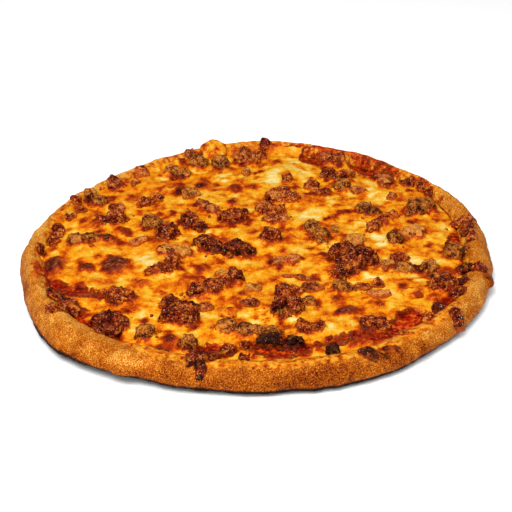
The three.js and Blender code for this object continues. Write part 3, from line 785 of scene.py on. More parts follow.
def sauce_recipe(settings):
    """Cooked tomato: dark red, pulpy and wet."""
    recipe = Recipe("tomato_sauce")
    pulp = recipe.noise(2.4, 4.0, 0.6) + recipe.noise(8.0, 2.0).swing(0.6)
    colour = recipe.ramp(pulp, [
        (0.36, srgb(84, 4, 2)), (0.48, tuple(settings.sauce)), (0.56, srgb(190, 46, 4)),
        (0.66, srgb(226, 96, 14)),
    ])
    normal = recipe.bump(pulp + recipe.noise(0.9) * 0.3, 0.9, 0.8)
    return recipe.finish(colour, 0.2 + pulp * 0.3, normal, 0.12, SAUCE_TINT)


class Meat(NamedTuple):
    """The colours of a kind of meat from its recesses to its crests, painted as shade and highlight, and
    how it shines: its painted glints and sheen.
    """

    dark: tuple
    light: tuple
    # How strong the painted glints are.
    specks: float
    # How wet it is: less rough, with more painted sheen.
    wet: float


SAUSAGE = Meat(srgb(106, 36, 6), srgb(210, 130, 50), specks=0.4, wet=0.3)
BEEF = Meat(srgb(98, 7, 1), srgb(208, 94, 24), specks=0.8, wet=0.6)
BACON = Meat(srgb(90, 5, 1), srgb(204, 84, 18), specks=0.8, wet=0.7)
HAM = Meat(srgb(124, 34, 10), srgb(220, 122, 64), specks=0.5, wet=0.5)
# The deepest recesses are darkened to this share of the dark colour as painted shade.
PAINTED_RECESS_SHADE = 0.1                            # share of its dark colour that the deepest recesses show


def meat_recipe(name, body, meat):
    """Cooked meat: recesses darkened as painted shade, crests lightened as painted highlight, painted
    glints and sheen, a film of cheese low down.
    """
    recipe = Recipe(name)
    shade = recipe.field("shade")
    fibre = recipe.noise(1.1, 3.0, 0.72)
    lump = recipe.noise(3.0, 2.0)
    patch = recipe.noise(7.0, 2.5)
    # The crest field lightens the crests and darkens the recesses: painted highlight and painted shade.
    tone = recipe.field("crest") + fibre.swing(2.8) + lump.swing(1.4) + patch.swing(1.8)
    tone = tone - (shade - 0.4) * 0.8
    painted_recess_shade = tuple(PAINTED_RECESS_SHADE * value for value in meat.dark[:3]) + (1.0,)
    colour = recipe.ramp(tone.clamped(), [
        (0.0, painted_recess_shade), (0.25, meat.dark), (0.5, tuple(body)), (0.76, meat.light),
        (1.0, srgb(238, 156, 66)),
    ])
    # Patches of painted sheen, the dull purple reflection on wet meat.
    painted_sheen = recipe.noise(4.4, 3.0, 0.6, 0.3).step(0.53, 0.64)
    colour = recipe.mix(painted_sheen * meat.wet * 0.8, colour, srgb(100, 34, 26))
    # Painted highlights: small bright glints on the moist meat.
    painted_glint = recipe.specks(1.4, 0.34, 0.18, 2.6, 0.6)
    colour = recipe.mix(painted_glint * meat.specks, colour, srgb(250, 196, 150))
    burnt = (shade + patch.swing(1.2) + lump.swing(0.6)).step(0.75, 1.1)
    colour = recipe.mix(burnt * 0.85, colour, srgb(30, 9, 6))
    melt = recipe.noise(5.0, 3.0, 0.6, 0.4).step(0.56, 0.68)
    colour = recipe.mix(melt * (0.6 - burnt * 0.5), colour, srgb(240, 142, 30))
    film = (recipe.field("foot") + recipe.noise(2.6, 3.0).swing(2.0)).step(0.3, 0.8)
    colour = recipe.mix(film * (0.7 - burnt * 0.6), colour, srgb(202, 84, 8))
    normal = recipe.bump(fibre + recipe.noise(0.7, 2.0) * 0.4, 0.7, 0.9)
    roughness = (0.62 - meat.wet * 0.35) + lump.swing(0.5)
    return recipe.finish(colour, roughness, normal, 0.09, MEAT_TINT)


# ---- Pieces of meat ------------------------------------------------------------------------------


class Grain(NamedTuple):
    """How a kind of meat breaks up: size and flatness of its grains, how many, and how rough."""

    size: float
    flatness: float
    crowd: float
    rough: float
    rounding: int = 2


SAUSAGE_GRAIN = Grain(2.6, 0.7, 1.3, 0.35)
BEEF_GRAIN = Grain(3.0, 0.7, 2.0, 0.95, rounding=1)
BACON_GRAIN = Grain(4.6, 0.3, 1.1, 0.45)
HAM_GRAIN = Grain(4.6, 0.3, 0.9, 0.3, rounding=3)
FLAKE = 0.5                 # grains flatter than this lie along the surface
TILT = 0.3                  # and lean from it by about this slope
OVERHANG = -0.2             # faces that look down more steeply than this get no grains
DENT_DEPTH, DENT_SIZE = 1.3, 6.5
SIDE_REACH, TOP_REACH = 0.6, 0.3        # how far grains may stand out of their body
SOFTENING = 12              # passes of the surface that crests are measured from
FILM_TOP, FILM_FULL = 3.4, 0.3          # heights over the cheese between which its film fades in
UNEVEN = 0.12               # how far small bits are bent, as a share of their width
PIECE_SEED, BIT_SEED, SEED_STEP = 100, 900, 20


def merge(bodies):
    """Joins bodies of points, faces and fields into one of each."""
    points, faces, fields, start = [], [], {}, 0
    for body_points, body_faces, body_fields in bodies:
        points.append(body_points)
        faces.extend([[index + start for index in face] for face in body_faces])
        for name, values in body_fields.items():
            fields.setdefault(name, []).append(np.broadcast_to(values, len(body_points)))
        start += len(body_points)
    return np.vstack(points), faces, {name: np.concatenate(parts) for name, parts in fields.items()}


def arrays_of(shape):
    """Points and faces of a bmesh, which is then let go."""
    points = np.array([vertex.co[:] for vertex in shape.verts])
    faces = [[vertex.index for vertex in face.verts] for face in shape.faces]
    shape.free()
    return points, faces


def grain_shape():
    """Points and faces of one small round grain of radius 1."""
    shape = bmesh.new()
    bmesh.ops.create_icosphere(shape, subdivisions=2, radius=1)
    return arrays_of(shape)


def solid_of(node):
    """Points in millimetres and faces of a CAD solid, its doubled points merged."""
    shape = bmesh.new()
    shape.from_mesh(node.data)
    bmesh.ops.remove_doubles(shape, verts=shape.verts, dist=0.01 * MM)
    points, faces = arrays_of(shape)
    return points / MM, faces


def turns(draw, count):
    """Random rotation matrices."""
    w, x, y, z = draw.normal(size=(4, count))
    length = np.sqrt(w * w + x * x + y * y + z * z)
    w, x, y, z = w / length, x / length, y / length, z / length
    rows = [[1 - 2 * (y * y + z * z), 2 * (x * y - w * z), 2 * (x * z + w * y)],
            [2 * (x * y + w * z), 1 - 2 * (x * x + z * z), 2 * (y * z - w * x)],
            [2 * (x * z - w * y), 2 * (y * z + w * x), 1 - 2 * (x * x + y * y)]]
    return np.array(rows).transpose(2, 0, 1)


def lying(draw, normals):
    """Rotation matrices that lay flat flakes nearly along a surface, turned at random in it."""
    up = normals + TILT * draw.normal(size=normals.shape)
    up /= np.linalg.norm(up, axis=1, keepdims=True)
    side = np.cross(up, draw.normal(size=up.shape))
    side /= np.linalg.norm(side, axis=1, keepdims=True)
    return np.stack([side, np.cross(up, side), up], axis=-1)


def grains_on(points, triangles, draw, grain):
    """Grains of meat pressed into the upper faces of a body: their points and faces."""
    a, b, c = (points[triangles[:, corner]] for corner in range(3))
    cross = np.cross(b - a, c - a)
    area = np.linalg.norm(cross, axis=1) / 2
    normal = cross / (2 * area[:, None] + 1e-9)
    open_area = np.where(normal[:, 2] > OVERHANG, area, 0)
    count = int(open_area.sum() / grain.size ** 2 * grain.crowd)
    chosen = draw.choice(len(triangles), count, p=open_area / open_area.sum())
    u, v = np.sqrt(draw.random(count))[:, None], draw.random(count)[:, None]
    middle = (1 - u) * a[chosen] + u * (1 - v) * b[chosen] + u * v * c[chosen]
    size = grain.size * (0.25 + 0.7 * draw.random((count, 1)) ** 1.5) * draw.uniform(0.5, 1.5, (count, 3))
    size[:, 2] *= grain.flatness
    middle -= normal[chosen] * size.mean(axis=1, keepdims=True) * draw.uniform(0.2, 1.0, (count, 1))
    shape, shape_faces = grain_shape()
    turned = turns(draw, count) if grain.flatness > FLAKE else lying(draw, normal[chosen])
    grains = np.einsum("nij,nkj->nki", turned, shape[None] * size[:, None]) + middle[:, None]
    faces = np.array(shape_faces)[None] + (np.arange(count) * len(shape))[:, None, None]
    return grains.reshape(-1, 3), faces.reshape(-1, 3)


def remeshed(points, faces, voxel, rounding):
    """One closed skin of fine quads round overlapping bodies."""
    body = bpy.data.objects.new("skin", new_mesh("skin", points, faces))
    bpy.context.scene.collection.objects.link(body)
    remesh = body.modifiers.new("Remesh", "REMESH")
    remesh.mode = "VOXEL"
    remesh.voxel_size = voxel
    smooth = body.modifiers.new("Smooth", "SMOOTH")
    smooth.factor = 0.5
    smooth.iterations = rounding
    shaped = body.evaluated_get(bpy.context.evaluated_depsgraph_get())
    fine = bpy.data.meshes.new_from_object(shaped)
    bpy.data.objects.remove(body)
    return fine


def relief_of(mesh):
    """How far each point stands out from the softened surface, in millimetres."""
    points = points_of(mesh)
    ends = np.empty(len(mesh.edges) * 2, int)
    mesh.edges.foreach_get("vertices", ends)
    first, second = ends.reshape(-1, 2).T
    ways = np.bincount(ends, minlength=len(points))[:, None]
    soft_points = points
    for _ in range(SOFTENING):
        total = [np.bincount(first, soft_points[second, axis], len(points))
                 + np.bincount(second, soft_points[first, axis], len(points)) for axis in range(3)]
        soft_points = np.stack(total, axis=-1) / ways
    return ((points - soft_points) * vectors_of(mesh, "normal")).sum(axis=1)


def crumbly(points, faces, voxel, grain, seed):
    """The fine form of a body of meat: grains on it, one skin over all, and how each point shows: painted
    shade in its recesses, painted highlight on its crests, and its film of cheese low down.
    """
    draw = np.random.default_rng(seed)
    triangles = np.array([[face[0], face[k], face[k + 1]]
                          for face in faces for k in range(1, len(face) - 1)])
    points = points + DENT_DEPTH * noise_vector(points, DENT_SIZE, seed)
    grain_points, grain_faces = grains_on(points, triangles, draw, grain)
    lowest = points.min(axis=0) - SIDE_REACH
    highest = points.max(axis=0) + (SIDE_REACH, SIDE_REACH, TOP_REACH)
    every = np.vstack([points, np.clip(grain_points, lowest, highest)])
    every_face = triangles.tolist() + (grain_faces + len(points)).tolist()
    mesh = remeshed(every, every_face, voxel, grain.rounding)
    fine = points_of(mesh)
    crags = 0.4 - np.abs(noise(fine, 3.6, seed + 3))
    rough = grain.rough * (crags + 0.6 * noise(fine, 2.1, seed + 1) + 0.5 * noise(fine, 1.2, seed + 2))
    move_points(mesh, fine + vectors_of(mesh, "normal") * rough[:, None])
    fine = points_of(mesh)
    # Lighter on crests and darker in recesses, for the meat's colour ramp: painted highlight and painted
    # shade.
    crest = 0.47 + (0.06 + 0.1 * grain.rough) * relief_of(mesh)
    foot = smoothstep(fine[:, 2] - cheese_top(fine[:, 0], fine[:, 1]), FILM_TOP, FILM_FULL)
    fine_faces = [list(polygon.vertices) for polygon in mesh.polygons]
    bpy.data.meshes.remove(mesh)
    return fine, fine_faces, {"crest": crest, "foot": foot}


def meat_bodies(kind, voxel, grain):
    """The fine form of every solid of one kind, and their names."""
    names = sorted(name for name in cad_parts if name.startswith(kind + "_"))
    draw = np.random.default_rng(len(kind) * 17)
    bodies = []
    for index, name in enumerate(names):
        solid = solid_of(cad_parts[name])
        points, faces, fields = crumbly(*solid, voxel, grain, PIECE_SEED + SEED_STEP * index)
        drawn, given = draw.uniform(0.25, 0.6), PIECE_SHADE[kind][index]
        bodies.append((points, faces, {**fields, "shade": drawn if given is None else given}))
    return bodies, names


def blob(lump, surface, seed, sides=14, rises=(-0.5, 0.1, 0.5, 0.85)):
    """A small bit: an uneven dome half sunk in what it lies on, as points and faces."""
    cos, sin = math.cos(math.radians(lump.turn)), math.sin(math.radians(lump.turn))
    angle = np.arange(sides) * math.tau / sides
    rises = np.array(rises)
    share = (1 - np.clip(rises, 0, 1) ** 2.2) ** 0.5
    along = np.append(np.outer(share, np.cos(angle)).ravel() * lump.length / 2, 0)
    across = np.append(np.outer(share, np.sin(angle)).ravel() * lump.width / 2, 0)
    rise = np.append(np.repeat(rises, sides), 1.0)
    x, y = lump.x + along * cos - across * sin, lump.y + along * sin + across * cos
    points = np.stack([x, y, surface(x, y) + rise * lump.height], axis=-1)
    short, long = sorted((lump.length, lump.width))
    points += short * UNEVEN * noise_vector(points, long / 2, seed)
    top, last = len(points) - 1, (len(rises) - 1) * sides
    faces = tube_faces(len(rises), sides)
    faces += [[last + step, last + (step + 1) % sides, top] for step in range(sides)]
    faces.append(list(range(sides))[::-1])
    return points, faces


def bit_bodies(bits, surface, voxel, grain):
    """The fine form of a list of small bits."""
    bodies = []
    for index, bit in enumerate(bits):
        seed = BIT_SEED + SEED_STEP * index
        points, faces, fields = crumbly(*blob(bit, surface, seed), voxel, grain, seed)
        bodies.append((points, faces, {**fields, "shade": bit.shade}))
    return bodies


def serve_bodies(name, bodies, material, nodes):
    """Places bodies as one piece that stands for those solids."""
    points, faces, fields = merge(bodies)
    mesh = new_mesh(name, points, faces)
    for field, values in fields.items():
        paint_field(mesh, field, values)
    serve(name, mesh, material, nodes)


def toppings_tree():
    """All the loose pieces of meat as one searchable body, in metres."""
    points, faces = [], []
    for name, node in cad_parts.items():
        if name in ("crust", "sauce", "cheese"):
            continue
        start = len(points)
        points.extend(vertex.co.copy() for vertex in node.data.vertices)
        faces.extend([index + start for index in polygon.vertices] for polygon in node.data.polygons)
    return BVHTree.FromPolygons(points, faces)


def undersides(x, y):
    """Height of the underside of the meat over each place, or 0 where there is none."""
    tree = toppings_tree()
    found = np.zeros(x.size)
    for index, place in enumerate(flat(x, y) * MM):
        hit = tree.ray_cast(Vector(place), Vector((0, 0, 1)))[0]
        if hit is not None:
            found[index] = hit.z / MM
    return found.reshape(x.shape)


def blurred(values, passes):
    """A grid of values softened by passes over its rows and columns."""
    for _ in range(2 * passes):
        padded = np.pad(values, ((1, 1), (0, 0)), "edge")
        values = (0.25 * padded[:-2] + 0.5 * values + 0.25 * padded[2:]).T
    return values


# ---- Operators -----------------------------------------------------------------------------------


class PIZZA_OT_crust(bpy.types.Operator):
    """Bake the crust with its uneven rim"""

    bl_idname = "pizza.crust"
    bl_label = "Crust"

    STRETCH_POINTS = (10, 6, 7, 8, 6, 8, 8, 7, 6)     # rings along each stretch of the section
    UNDER_RINGS = 16                                  # rings from the middle of the underside to its foot
    # The lower edge is darkened as scorch and as painted shadow under the lifted edge.
    SCORCH_BEARING, SCORCH_SPREAD = 225, 28           # degrees where the dark lower edge reaches highest

    def execute(self, context):
        settings = context.scene.pizza_crust
        count = settings.bearings
        rings = self.rounded_rings(np.arange(count) * math.tau / count)
        points = np.vstack([[[0, 0, 0]], rings.reshape(-1, 3), [[0, 0, BED_HEIGHT]]])
        faces = [[corner + 1 for corner in face] for face in tube_faces(len(rings), count)]
        last = 1 + (len(rings) - 1) * count
        for step in range(count):
            after = (step + 1) % count
            faces.append([0, 1 + after, 1 + step])
            faces.append([len(points) - 1, last + step, last + after])
        mesh = new_mesh("crust_baked", points, faces)
        self.raise_grain(mesh, settings)
        self.brown(mesh)
        serve("crust_baked", mesh, crust_recipe(settings), ["crust"])
        return {"FINISHED"}

    def rounded_rings(self, angle):
        """Rings of points on smooth curves through the section's corners."""
        section = np.array(crust_section(angle))
        ends = np.concatenate([section[:, :1], section, section[:, -1:]], axis=1)
        rings = [section[:, 0] * share for share in np.arange(1, self.UNDER_RINGS) / self.UNDER_RINGS]
        for stretch, steps in enumerate(self.STRETCH_POINTS):
            corners = [ends[:, stretch + step] for step in range(4)]
            rings.extend(curve(*corners, t) for t in np.arange(steps) / steps)
        rings.append(section[:, -1])
        radius, height = np.array(rings).transpose(1, 0, 2)
        return np.stack([radius * np.cos(angle), radius * np.sin(angle), height], axis=-1)

    def raise_grain(self, mesh, settings):
        """Lumps, shallow dimples and a sandy grain on the upper and outer sides."""
        points = points_of(mesh)
        lump, pore = settings.lump_depth / MM, settings.pore_depth / MM
        push = lump * (layered(points, 17, 5, 3) + 0.35 * noise(points, 5.5, 9))
        push += pore * (noise(points, 1.8, 12) + 0.8 * noise(points, 1.1, 13))
        for bit in DOUGH_BITS:
            away = ellipse_distance(points[:, 0], points[:, 1], bit)
            push += bit.height * np.maximum(0, 1 - away ** 2) * (points[:, 2] > UPPER_SIDE)
        bare = smoothstep(points[:, 2], 0.0, 3.0)
        points += vectors_of(mesh, "normal") * (push * bare)[:, None]
        points[:, 2] = np.maximum(points[:, 2], 0)
        move_points(mesh, points)

    def brown(self, mesh):
        """Paints how baked, shaded, greasy and sauced each point of the dough is."""
        points = points_of(mesh)
        x, y, height = points.T
        wavy = warped(x, y, 9, 3, 21)
        from_edge, from_cheese = rim_inset(x, y), -cheese_inset(x, y)
        upper = height > UPPER_SIDE
        ragged = layered(points, 6, 51, 2)
        edge = smoothstep(from_cheese + 2.5 * ragged, 9, 0) * upper
        reach = 4 + 8 * smoothstep(y, 40, 130) * smoothstep(x, -110, -60) + 15 * smoothstep(-y, 60, 120)
        film = smoothstep(from_cheese + 3 * ragged, reach, 0.35 * reach) * upper
        kept = smoothstep(from_edge, 3.5, 7.0) * (height > BED_HEIGHT)
        paint_field(mesh, "film", film * smoothstep(from_edge, 4.0, 7.0))
        paint_field(mesh, "bake", self.baked(points, wavy, from_edge))
        paint_field(mesh, "grease", 0.75 * edge + strongest(*wavy, RIM_GREASE) * upper)
        paint_field(mesh, "splash", 0.25 * edge + strongest(*wavy, RIM_SPLASH) * kept)

    def baked(self, points, wavy, from_edge):
        """How baked the dough is at each point, from pale (0) to scorched (1), with painted shade down the
        outer side and along the lower edge.
        """
        x, y, height = points.T
        turn = np.degrees(np.arctan2(y, x)) % 360
        high = np.exp(-(((turn - self.SCORCH_BEARING) / self.SCORCH_SPREAD) ** 2))
        # The outer side is darker than the crest, from baking and from painted shade; its lower edge is
        # dark from scorching and from painted shadow, most where the edge is lifted; its foot is pale
        # again.
        bake = 0.33 + 0.1 * smoothstep(height, 18, 11) - 0.02 * smoothstep(height, 9, 6)
        bake += 0.95 * smoothstep(height, 6.5 + 4.5 * high, 4.0 + 3.5 * high)
        bake -= 0.5 * smoothstep(height, 3.0, 0.8)
        # The front is darker than the back, and the left and the far right paler.
        bake += 0.1 * smoothstep(-y, 60, 150) - 0.16 * smoothstep(y, 20, 120)
        bake -= 0.09 * smoothstep(-x, 40, 130) + 0.08 * smoothstep(x - y, 190, 235)
        bake += 0.1 * layered(points, 22, 31, 2) + 0.07 * noise(points, 7, 33)
        bake += marked(*wavy, RIM_SCORCH_AND_SHADE) - marked(*wavy, RIM_PALE)
        # The underside is evenly baked, with brown spots.
        under = (height < 0.4) & (from_edge > 8)
        brown_spots = smoothstep(cells(points, 26, 41) + 0.3 * noise(points, 12, 42), 0.6, 0.2)
        return np.where(under, 0.38 + 0.3 * brown_spots + 0.16 * layered(points, 40, 43, 3), bake)


class PIZZA_OT_sauce(bpy.types.Operator):
    """Spread the tomato sauce over the bed"""

    bl_idname = "pizza.sauce"
    bl_label = "Sauce"

    ROWS = 160
    REACH = 0.955       # how far over the rim's width the sauce is kept from the outer edge

    def execute(self, context):
        x, y = disc_grid(self.ROWS)
        angle = np.arctan2(y, x)
        radius = outline_radius(angle) - self.REACH * around(RIM_WIDTH, angle)
        points = flat(x * radius, y * radius)
        points[:, 2] = SAUCE_TOP + 0.35 * layered(points, 7, 71, 4, 0.6) - 0.2
        mesh = new_mesh("sauce_spread", *closed_sheet(points, self.ROWS, BED_HEIGHT))
        serve("sauce_spread", mesh, sauce_recipe(context.scene.pizza_cheese), ["sauce"])
        return {"FINISHED"}


class PIZZA_OT_cheese(bpy.types.Operator):
    """Melt the cheese round the meats, with its blisters and gaps"""

    bl_idname = "pizza.cheese"
    bl_label = "Cheese"

    SINK = 1.0          # the meat sits this deep in the cheese, in millimetres
    CLIMB = 2.5         # and the cheese climbs up its sides by this much
    FLOOR = 0.2         # the cheese ends this far above the bed
    HIDDEN_TOAST = 0.4  # how toasted its hidden sides are

    def execute(self, context):
        settings = context.scene.pizza_cheese
        x, y = disc_grid(settings.rows)
        radius = cheese_outline(np.arctan2(y, x))
        x, y = x * radius, y * radius
        under = undersides(x, y)
        covered = (under > 0).astype(float)
        toast = self.toasted(x, y, blurred(covered, 22))
        height = self.melted(x, y, under, blurred(covered, 10), toast, settings.wrinkle_depth / MM)
        points = np.stack([x, y, height], axis=-1).reshape(-1, 3)
        points, faces = closed_sheet(points, settings.rows, BED_HEIGHT + self.FLOOR)
        mesh = new_mesh("cheese_melted", points, faces)
        fields = [("toast", toast, self.HIDDEN_TOAST), ("blister", self.blistered(x, y), 0),
                  ("sauced", self.sauced(x, y), 0)]
        for name, values, hidden in fields:
            paint_field(mesh, name, np.append(values.ravel(), np.full(len(points) - x.size, hidden)))
        serve("cheese_melted", mesh, cheese_recipe(settings), ["cheese"])
        return {"FINISHED"}

    def toasted(self, x, y, near):
        """How toasted the cheese is at each place, from cream (0) to dark brown (1)."""
        wavy = warped(x, y, 7, 2.6, 11)
        toast = 0.39 + 0.22 * over(layered, x, y, 22, 1, 2)
        toast += 0.24 * over(layered, x, y, 9, 2, 3)
        toast += 0.3 * smoothstep(over(cells, x, y, 12, 5), 0.45, 0.1)
        marks = 0.8 * marked(*wavy, CHEESE_MARKS)
        streaks = np.clip(0.6 + 1.3 * over(layered, 0.6 * x, 1.4 * y, 8, 96, 3), 0.1, 1.1)
        toast += np.where(marks < 0, marks * streaks, marks)
        for dome in CHEESE_DOMES:
            toast += 0.6 * dome.shade * soft(*wavy, dome, 0.3, 1.5)
        toast += 0.38 * smoothstep(near + 0.25 * over(layered, x, y, 5, 91, 3), 0.1, 0.55)
        toast += 0.06 * smoothstep(cheese_inset(x, y), 14, 2)
        return toast + 0.1 * smoothstep(gap_depth(x, y), 0.0, 0.6)

    def blistered(self, x, y):
        """1 on top of the well browned blisters, 0 away from them."""
        wavy = warped(x, y, 6, 1.5, 14)
        skins = [(1.6 * dome.shade - 0.6) * soft(*wavy, dome, 0.2, 1.35) for dome in CHEESE_DOMES]
        return np.max(skins, axis=0)

    def sauced(self, x, y):
        """1 on the sides of the gaps, most of all in front of them, where the sauce has boiled up."""
        wavy = warped(x, y, 6, 2.0, 85)
        wider = [gap._replace(y=gap.y - 3, length=gap.length + 5, width=gap.width + 6)
                 for gap in CHEESE_GAPS]
        return np.max([soft(*wavy, gap, 0.85, 1.35) for gap in wider], axis=0)

    def melted(self, x, y, under, near, toast, wrinkle):
        """Height of the cheese: relief, rise round the meat, and gaps down to the sauce."""
        height = cheese_top(x, y)
        inset = cheese_inset(x, y)
        inner = smoothstep(inset, 0, 6)
        fine = over(layered, x, y, 7, 3, 4, 0.62)
        height += inner * (wrinkle * fine + 0.5 * (toast - 0.4)) + 0.7 * smoothstep(inset, 8, 3)
        lift = np.where(under > 0, under + self.SINK - height, 0)
        height += blurred(np.clip(lift, -1.5, 3.0), 5) * inner
        height += self.CLIMB * smoothstep(near, 0.0, 0.8) * (0.8 + 0.6 * fine) * inner
        gap = gap_depth(x, y) * (under <= 0)
        return (height - 0.4 * smoothstep(inset, 1.2, 0)) * (1 - gap) + (SAUCE_TOP - 1.2) * gap


class PIZZA_OT_meats(bpy.types.Operator):
    """Lay the chunks of sausage, beef, bacon and ham"""

    bl_idname = "pizza.meats"
    bl_label = "Meats"

    KINDS = {"sausage": (SAUSAGE, SAUSAGE_GRAIN), "beef": (BEEF, BEEF_GRAIN),
             "bacon": (BACON, BACON_GRAIN), "ham": (HAM, HAM_GRAIN)}

    def execute(self, context):
        settings = context.scene.pizza_meat
        for kind, (meat, grain) in self.KINDS.items():
            bodies, names = meat_bodies(kind, settings.voxel, grain)
            material = meat_recipe(kind + "_meat", getattr(settings, kind), meat)
            serve_bodies(kind + "_pieces", bodies, material, names)
        return {"FINISHED"}


class PIZZA_OT_bits(bpy.types.Operator):
    """Strew the small bits that are baked into the cheese and the rim"""

    bl_idname = "pizza.bits"
    bl_label = "Small bits"

    BATCHES = [
        ("bits_ham", HAM_BITS, cheese_top, "cheese", "ham", HAM, HAM_GRAIN),
        ("bits_sausage", SAUSAGE_BITS, cheese_top, "cheese", "sausage", SAUSAGE, SAUSAGE_GRAIN),
        ("bits_charred", CHAR_BITS, cheese_top, "cheese", "bacon", BACON, BEEF_GRAIN),
        ("bits_rim", RIM_BITS, crust_top, "crust", "bacon", BACON, HAM_GRAIN),
    ]
    COARSER = 1.2               # facets against those of the larger pieces
    BUBBLE_SEED = 800
    BUBBLE_SIDES, BUBBLE_RINGS = 56, 24

    def execute(self, context):
        settings = context.scene.pizza_meat
        self.blow_bubbles(context.scene.pizza_cheese)
        for name, bits, surface, node, kind, meat, grain in self.BATCHES:
            bodies = bit_bodies(bits, surface, self.COARSER * settings.voxel, grain)
            material = meat_recipe(name + "_meat", getattr(settings, kind), meat)
            serve_bodies(name, bodies, material, [node])
        return {"FINISHED"}

    def blow_bubbles(self, settings):
        """Smooth bubbles of browned cheese."""
        rises = np.linspace(-0.5, 0.99, self.BUBBLE_RINGS)
        bodies = []
        for index, bit in enumerate(BUBBLE_BITS):
            points, faces = blob(bit, cheese_top, self.BUBBLE_SEED + index, self.BUBBLE_SIDES, rises)
            behind = (points[:, 1] - bit.y) / (bit.width / 2)
            toast = 0.5 * bit.shade + 0.26 + 0.3 * layered(points, 5, 840, 3)
            toast += 0.45 * smoothstep(behind, 0.1, 0.8)
            skin = 0.25 + 0.35 * smoothstep(behind, 0.2, 0.8)
            bodies.append((points, faces, {"toast": toast, "blister": skin, "sauced": 0.0}))
        serve_bodies("bits_bubbles", bodies, cheese_recipe(settings), ["cheese"])


class PIZZA_OT_crumbs(bpy.types.Operator):
    """Scatter loose crumbs of meat over the cheese"""

    bl_idname = "pizza.crumbs"
    bl_label = "Crumbs"

    SEED = 4071
    SEARCH_HEIGHT = 14.0        # from where the nearest meat is looked for, in millimetres
    STRAY = 4.5                 # how far crumbs lie from the meat, in millimetres
    SIDES, RISES = 8, (-0.6, 0.2, 0.75)

    def execute(self, context):
        settings = context.scene.pizza_meat
        draw = np.random.default_rng(self.SEED)
        tree = toppings_tree()
        bodies = []
        while len(bodies) < settings.crumbs:
            angle, share = draw.uniform(0, math.tau), math.sqrt(draw.uniform(0, 0.98))
            radius = share * around(CHEESE_RADIUS, np.array([angle]))[0]
            x, y = radius * math.cos(angle), radius * math.sin(angle)
            away = tree.find_nearest(Vector((x * MM, y * MM, self.SEARCH_HEIGHT * MM)))[3] / MM
            in_gap = gap_depth(np.array([x]), np.array([y]))[0] > 0.05
            if in_gap or draw.random() > math.exp(-((away / self.STRAY) ** 2)):
                continue
            size = 0.8 + 2.0 * draw.random() ** 2
            crumb = Lump(x, y, size * draw.uniform(1, 1.9), size, size * draw.uniform(0.35, 0.6),
                         draw.uniform(0, 180))
            points, faces = blob(crumb, cheese_top, len(bodies), self.SIDES, self.RISES)
            fields = {"crest": draw.uniform(0.3, 0.55), "foot": 0.65, "shade": draw.uniform(0.1, 0.4)}
            bodies.append((points, faces, fields))
        serve_bodies("crumbs", bodies, meat_recipe("crumb_meat", settings.beef, BEEF), ["cheese"])
        return {"FINISHED"}


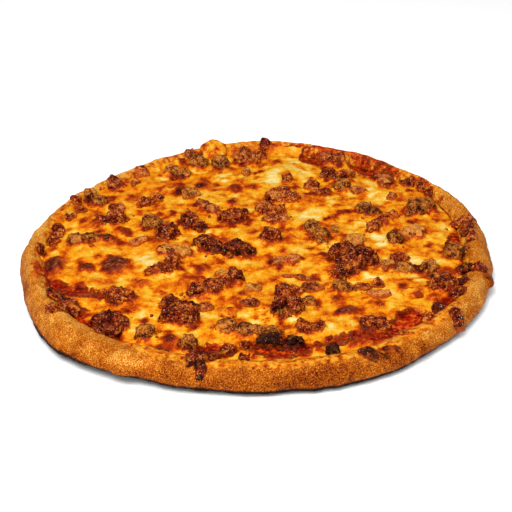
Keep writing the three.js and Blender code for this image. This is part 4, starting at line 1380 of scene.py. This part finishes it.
class PIZZA_OT_stage(bpy.types.Operator):
    """Set the pale floor, the soft studio light and the camera"""

    bl_idname = "pizza.stage"
    bl_label = "Stage"

    TARGET = Vector((-0.35, -4.3, 8.0)) * MM
    SENSOR = 36.0               # width of the camera's sensor in millimetres
    FLOOR_HALF = 4.0            # half the floor's side, in metres
    # Place in metres and size of each lamp.
    LAMPS = {"fill": ((0.1, -1.6, 0.5), 1.0), "key": ((-0.3, -0.7, 1.2), 0.7),
             "softbox": ((0.0, -0.7, 1.5), 2.4)}

    def execute(self, context):
        settings = context.scene.pizza_stage
        self.lay_floor()
        self.hang_lights(context.scene, settings)
        self.set_camera(context.scene, settings)
        context.scene.view_settings.view_transform = "Standard"
        context.scene.view_settings.look = "None"
        return {"FINISHED"}

    def place(self, name, data, location, forward):
        """Adds a camera or lamp there that looks along that direction."""
        item = bpy.data.objects.new(name, data)
        item.location = location
        item.rotation_euler = forward.to_track_quat("-Z", "Y").to_euler()
        bpy.context.scene.collection.objects.link(item)
        return item

    def lay_floor(self):
        """The pale floor that the pizza lies on."""
        half = self.FLOOR_HALF
        mesh = bpy.data.meshes.new("floor")
        corners = [(-half, -half, 0), (half, -half, 0), (half, half, 0), (-half, half, 0)]
        mesh.from_pydata(corners, [], [(0, 1, 2, 3)])
        floor = bpy.data.objects.new("floor", mesh)
        bpy.context.scene.collection.objects.link(floor)
        recipe = Recipe("pale_floor")
        grain = recipe.noise(60, 2.0)
        colour = recipe.mix(grain * 0.1, (1.0, 1.0, 1.0, 1.0), (0.97, 0.96, 0.95, 1.0))
        mesh.materials.append(recipe.finish(colour, 0.7, recipe.bump(grain, 0.01, 0.1), 0.1))

    def hang_lights(self, scene, settings):
        """The even surroundings and the three lamps."""
        world = bpy.data.worlds.new("studio")
        world.use_nodes = True
        background = world.node_tree.nodes["Background"]
        background.inputs["Color"].default_value = (1, 1, 1, 1)
        background.inputs["Strength"].default_value = settings.sky
        scene.world = world
        for name, (location, size) in self.LAMPS.items():
            light = bpy.data.lights.new(name, "AREA")
            light.energy = getattr(settings, name + "_power")
            light.size = size
            self.place(name, light, location, self.TARGET - Vector(location))

    def set_camera(self, scene, settings):
        """The camera at the photograph's viewing angle."""
        data = bpy.data.cameras.new("camera")
        data.lens = settings.lens
        data.sensor_width = self.SENSOR
        back = Vector((0, -math.cos(settings.elevation), math.sin(settings.elevation)))
        scene.camera = self.place("camera", data, self.TARGET + back * settings.distance, -back)


class PIZZA_PT_panel(bpy.types.Panel):
    """Lists the steps of making the pizza and what they use"""

    bl_idname = "PIZZA_PT_panel"
    bl_label = "Meat Lovers Pizza"
    bl_space_type = "VIEW_3D"
    bl_region_type = "UI"
    bl_category = "Pizza"

    def draw(self, context):
        for step in STEPS:
            self.layout.operator(step.bl_idname)
        for group in GROUPS:
            settings = getattr(context.scene, group)
            box = self.layout.box()
            for name in settings.__annotations__:
                box.prop(settings, name)


STEPS = (PIZZA_OT_crust, PIZZA_OT_sauce, PIZZA_OT_cheese, PIZZA_OT_meats, PIZZA_OT_bits,
         PIZZA_OT_crumbs, PIZZA_OT_stage)
GROUPS = {"pizza_crust": CrustSettings, "pizza_cheese": CheeseSettings,
          "pizza_meat": MeatSettings, "pizza_stage": StageSettings}


def register():
    """Makes the settings, the steps and the panel known to Blender."""
    for kind in (*GROUPS.values(), *STEPS, PIZZA_PT_panel):
        bpy.utils.register_class(kind)
    for name, kind in GROUPS.items():
        setattr(bpy.types.Scene, name, bpy.props.PointerProperty(type=kind))


def unregister():
    """Takes them away again."""
    for name in GROUPS:
        delattr(bpy.types.Scene, name)
    for kind in (PIZZA_PT_panel, *reversed(STEPS), *reversed(GROUPS.values())):
        bpy.utils.unregister_class(kind)


def main():
    """Makes the pizza and its stage."""
    register()
    bpy.ops.pizza.crust()
    bpy.ops.pizza.sauce()
    bpy.ops.pizza.cheese()
    bpy.ops.pizza.meats()
    bpy.ops.pizza.bits()
    bpy.ops.pizza.crumbs()
    bpy.ops.pizza.stage()


if __name__ == "__main__":
    main()
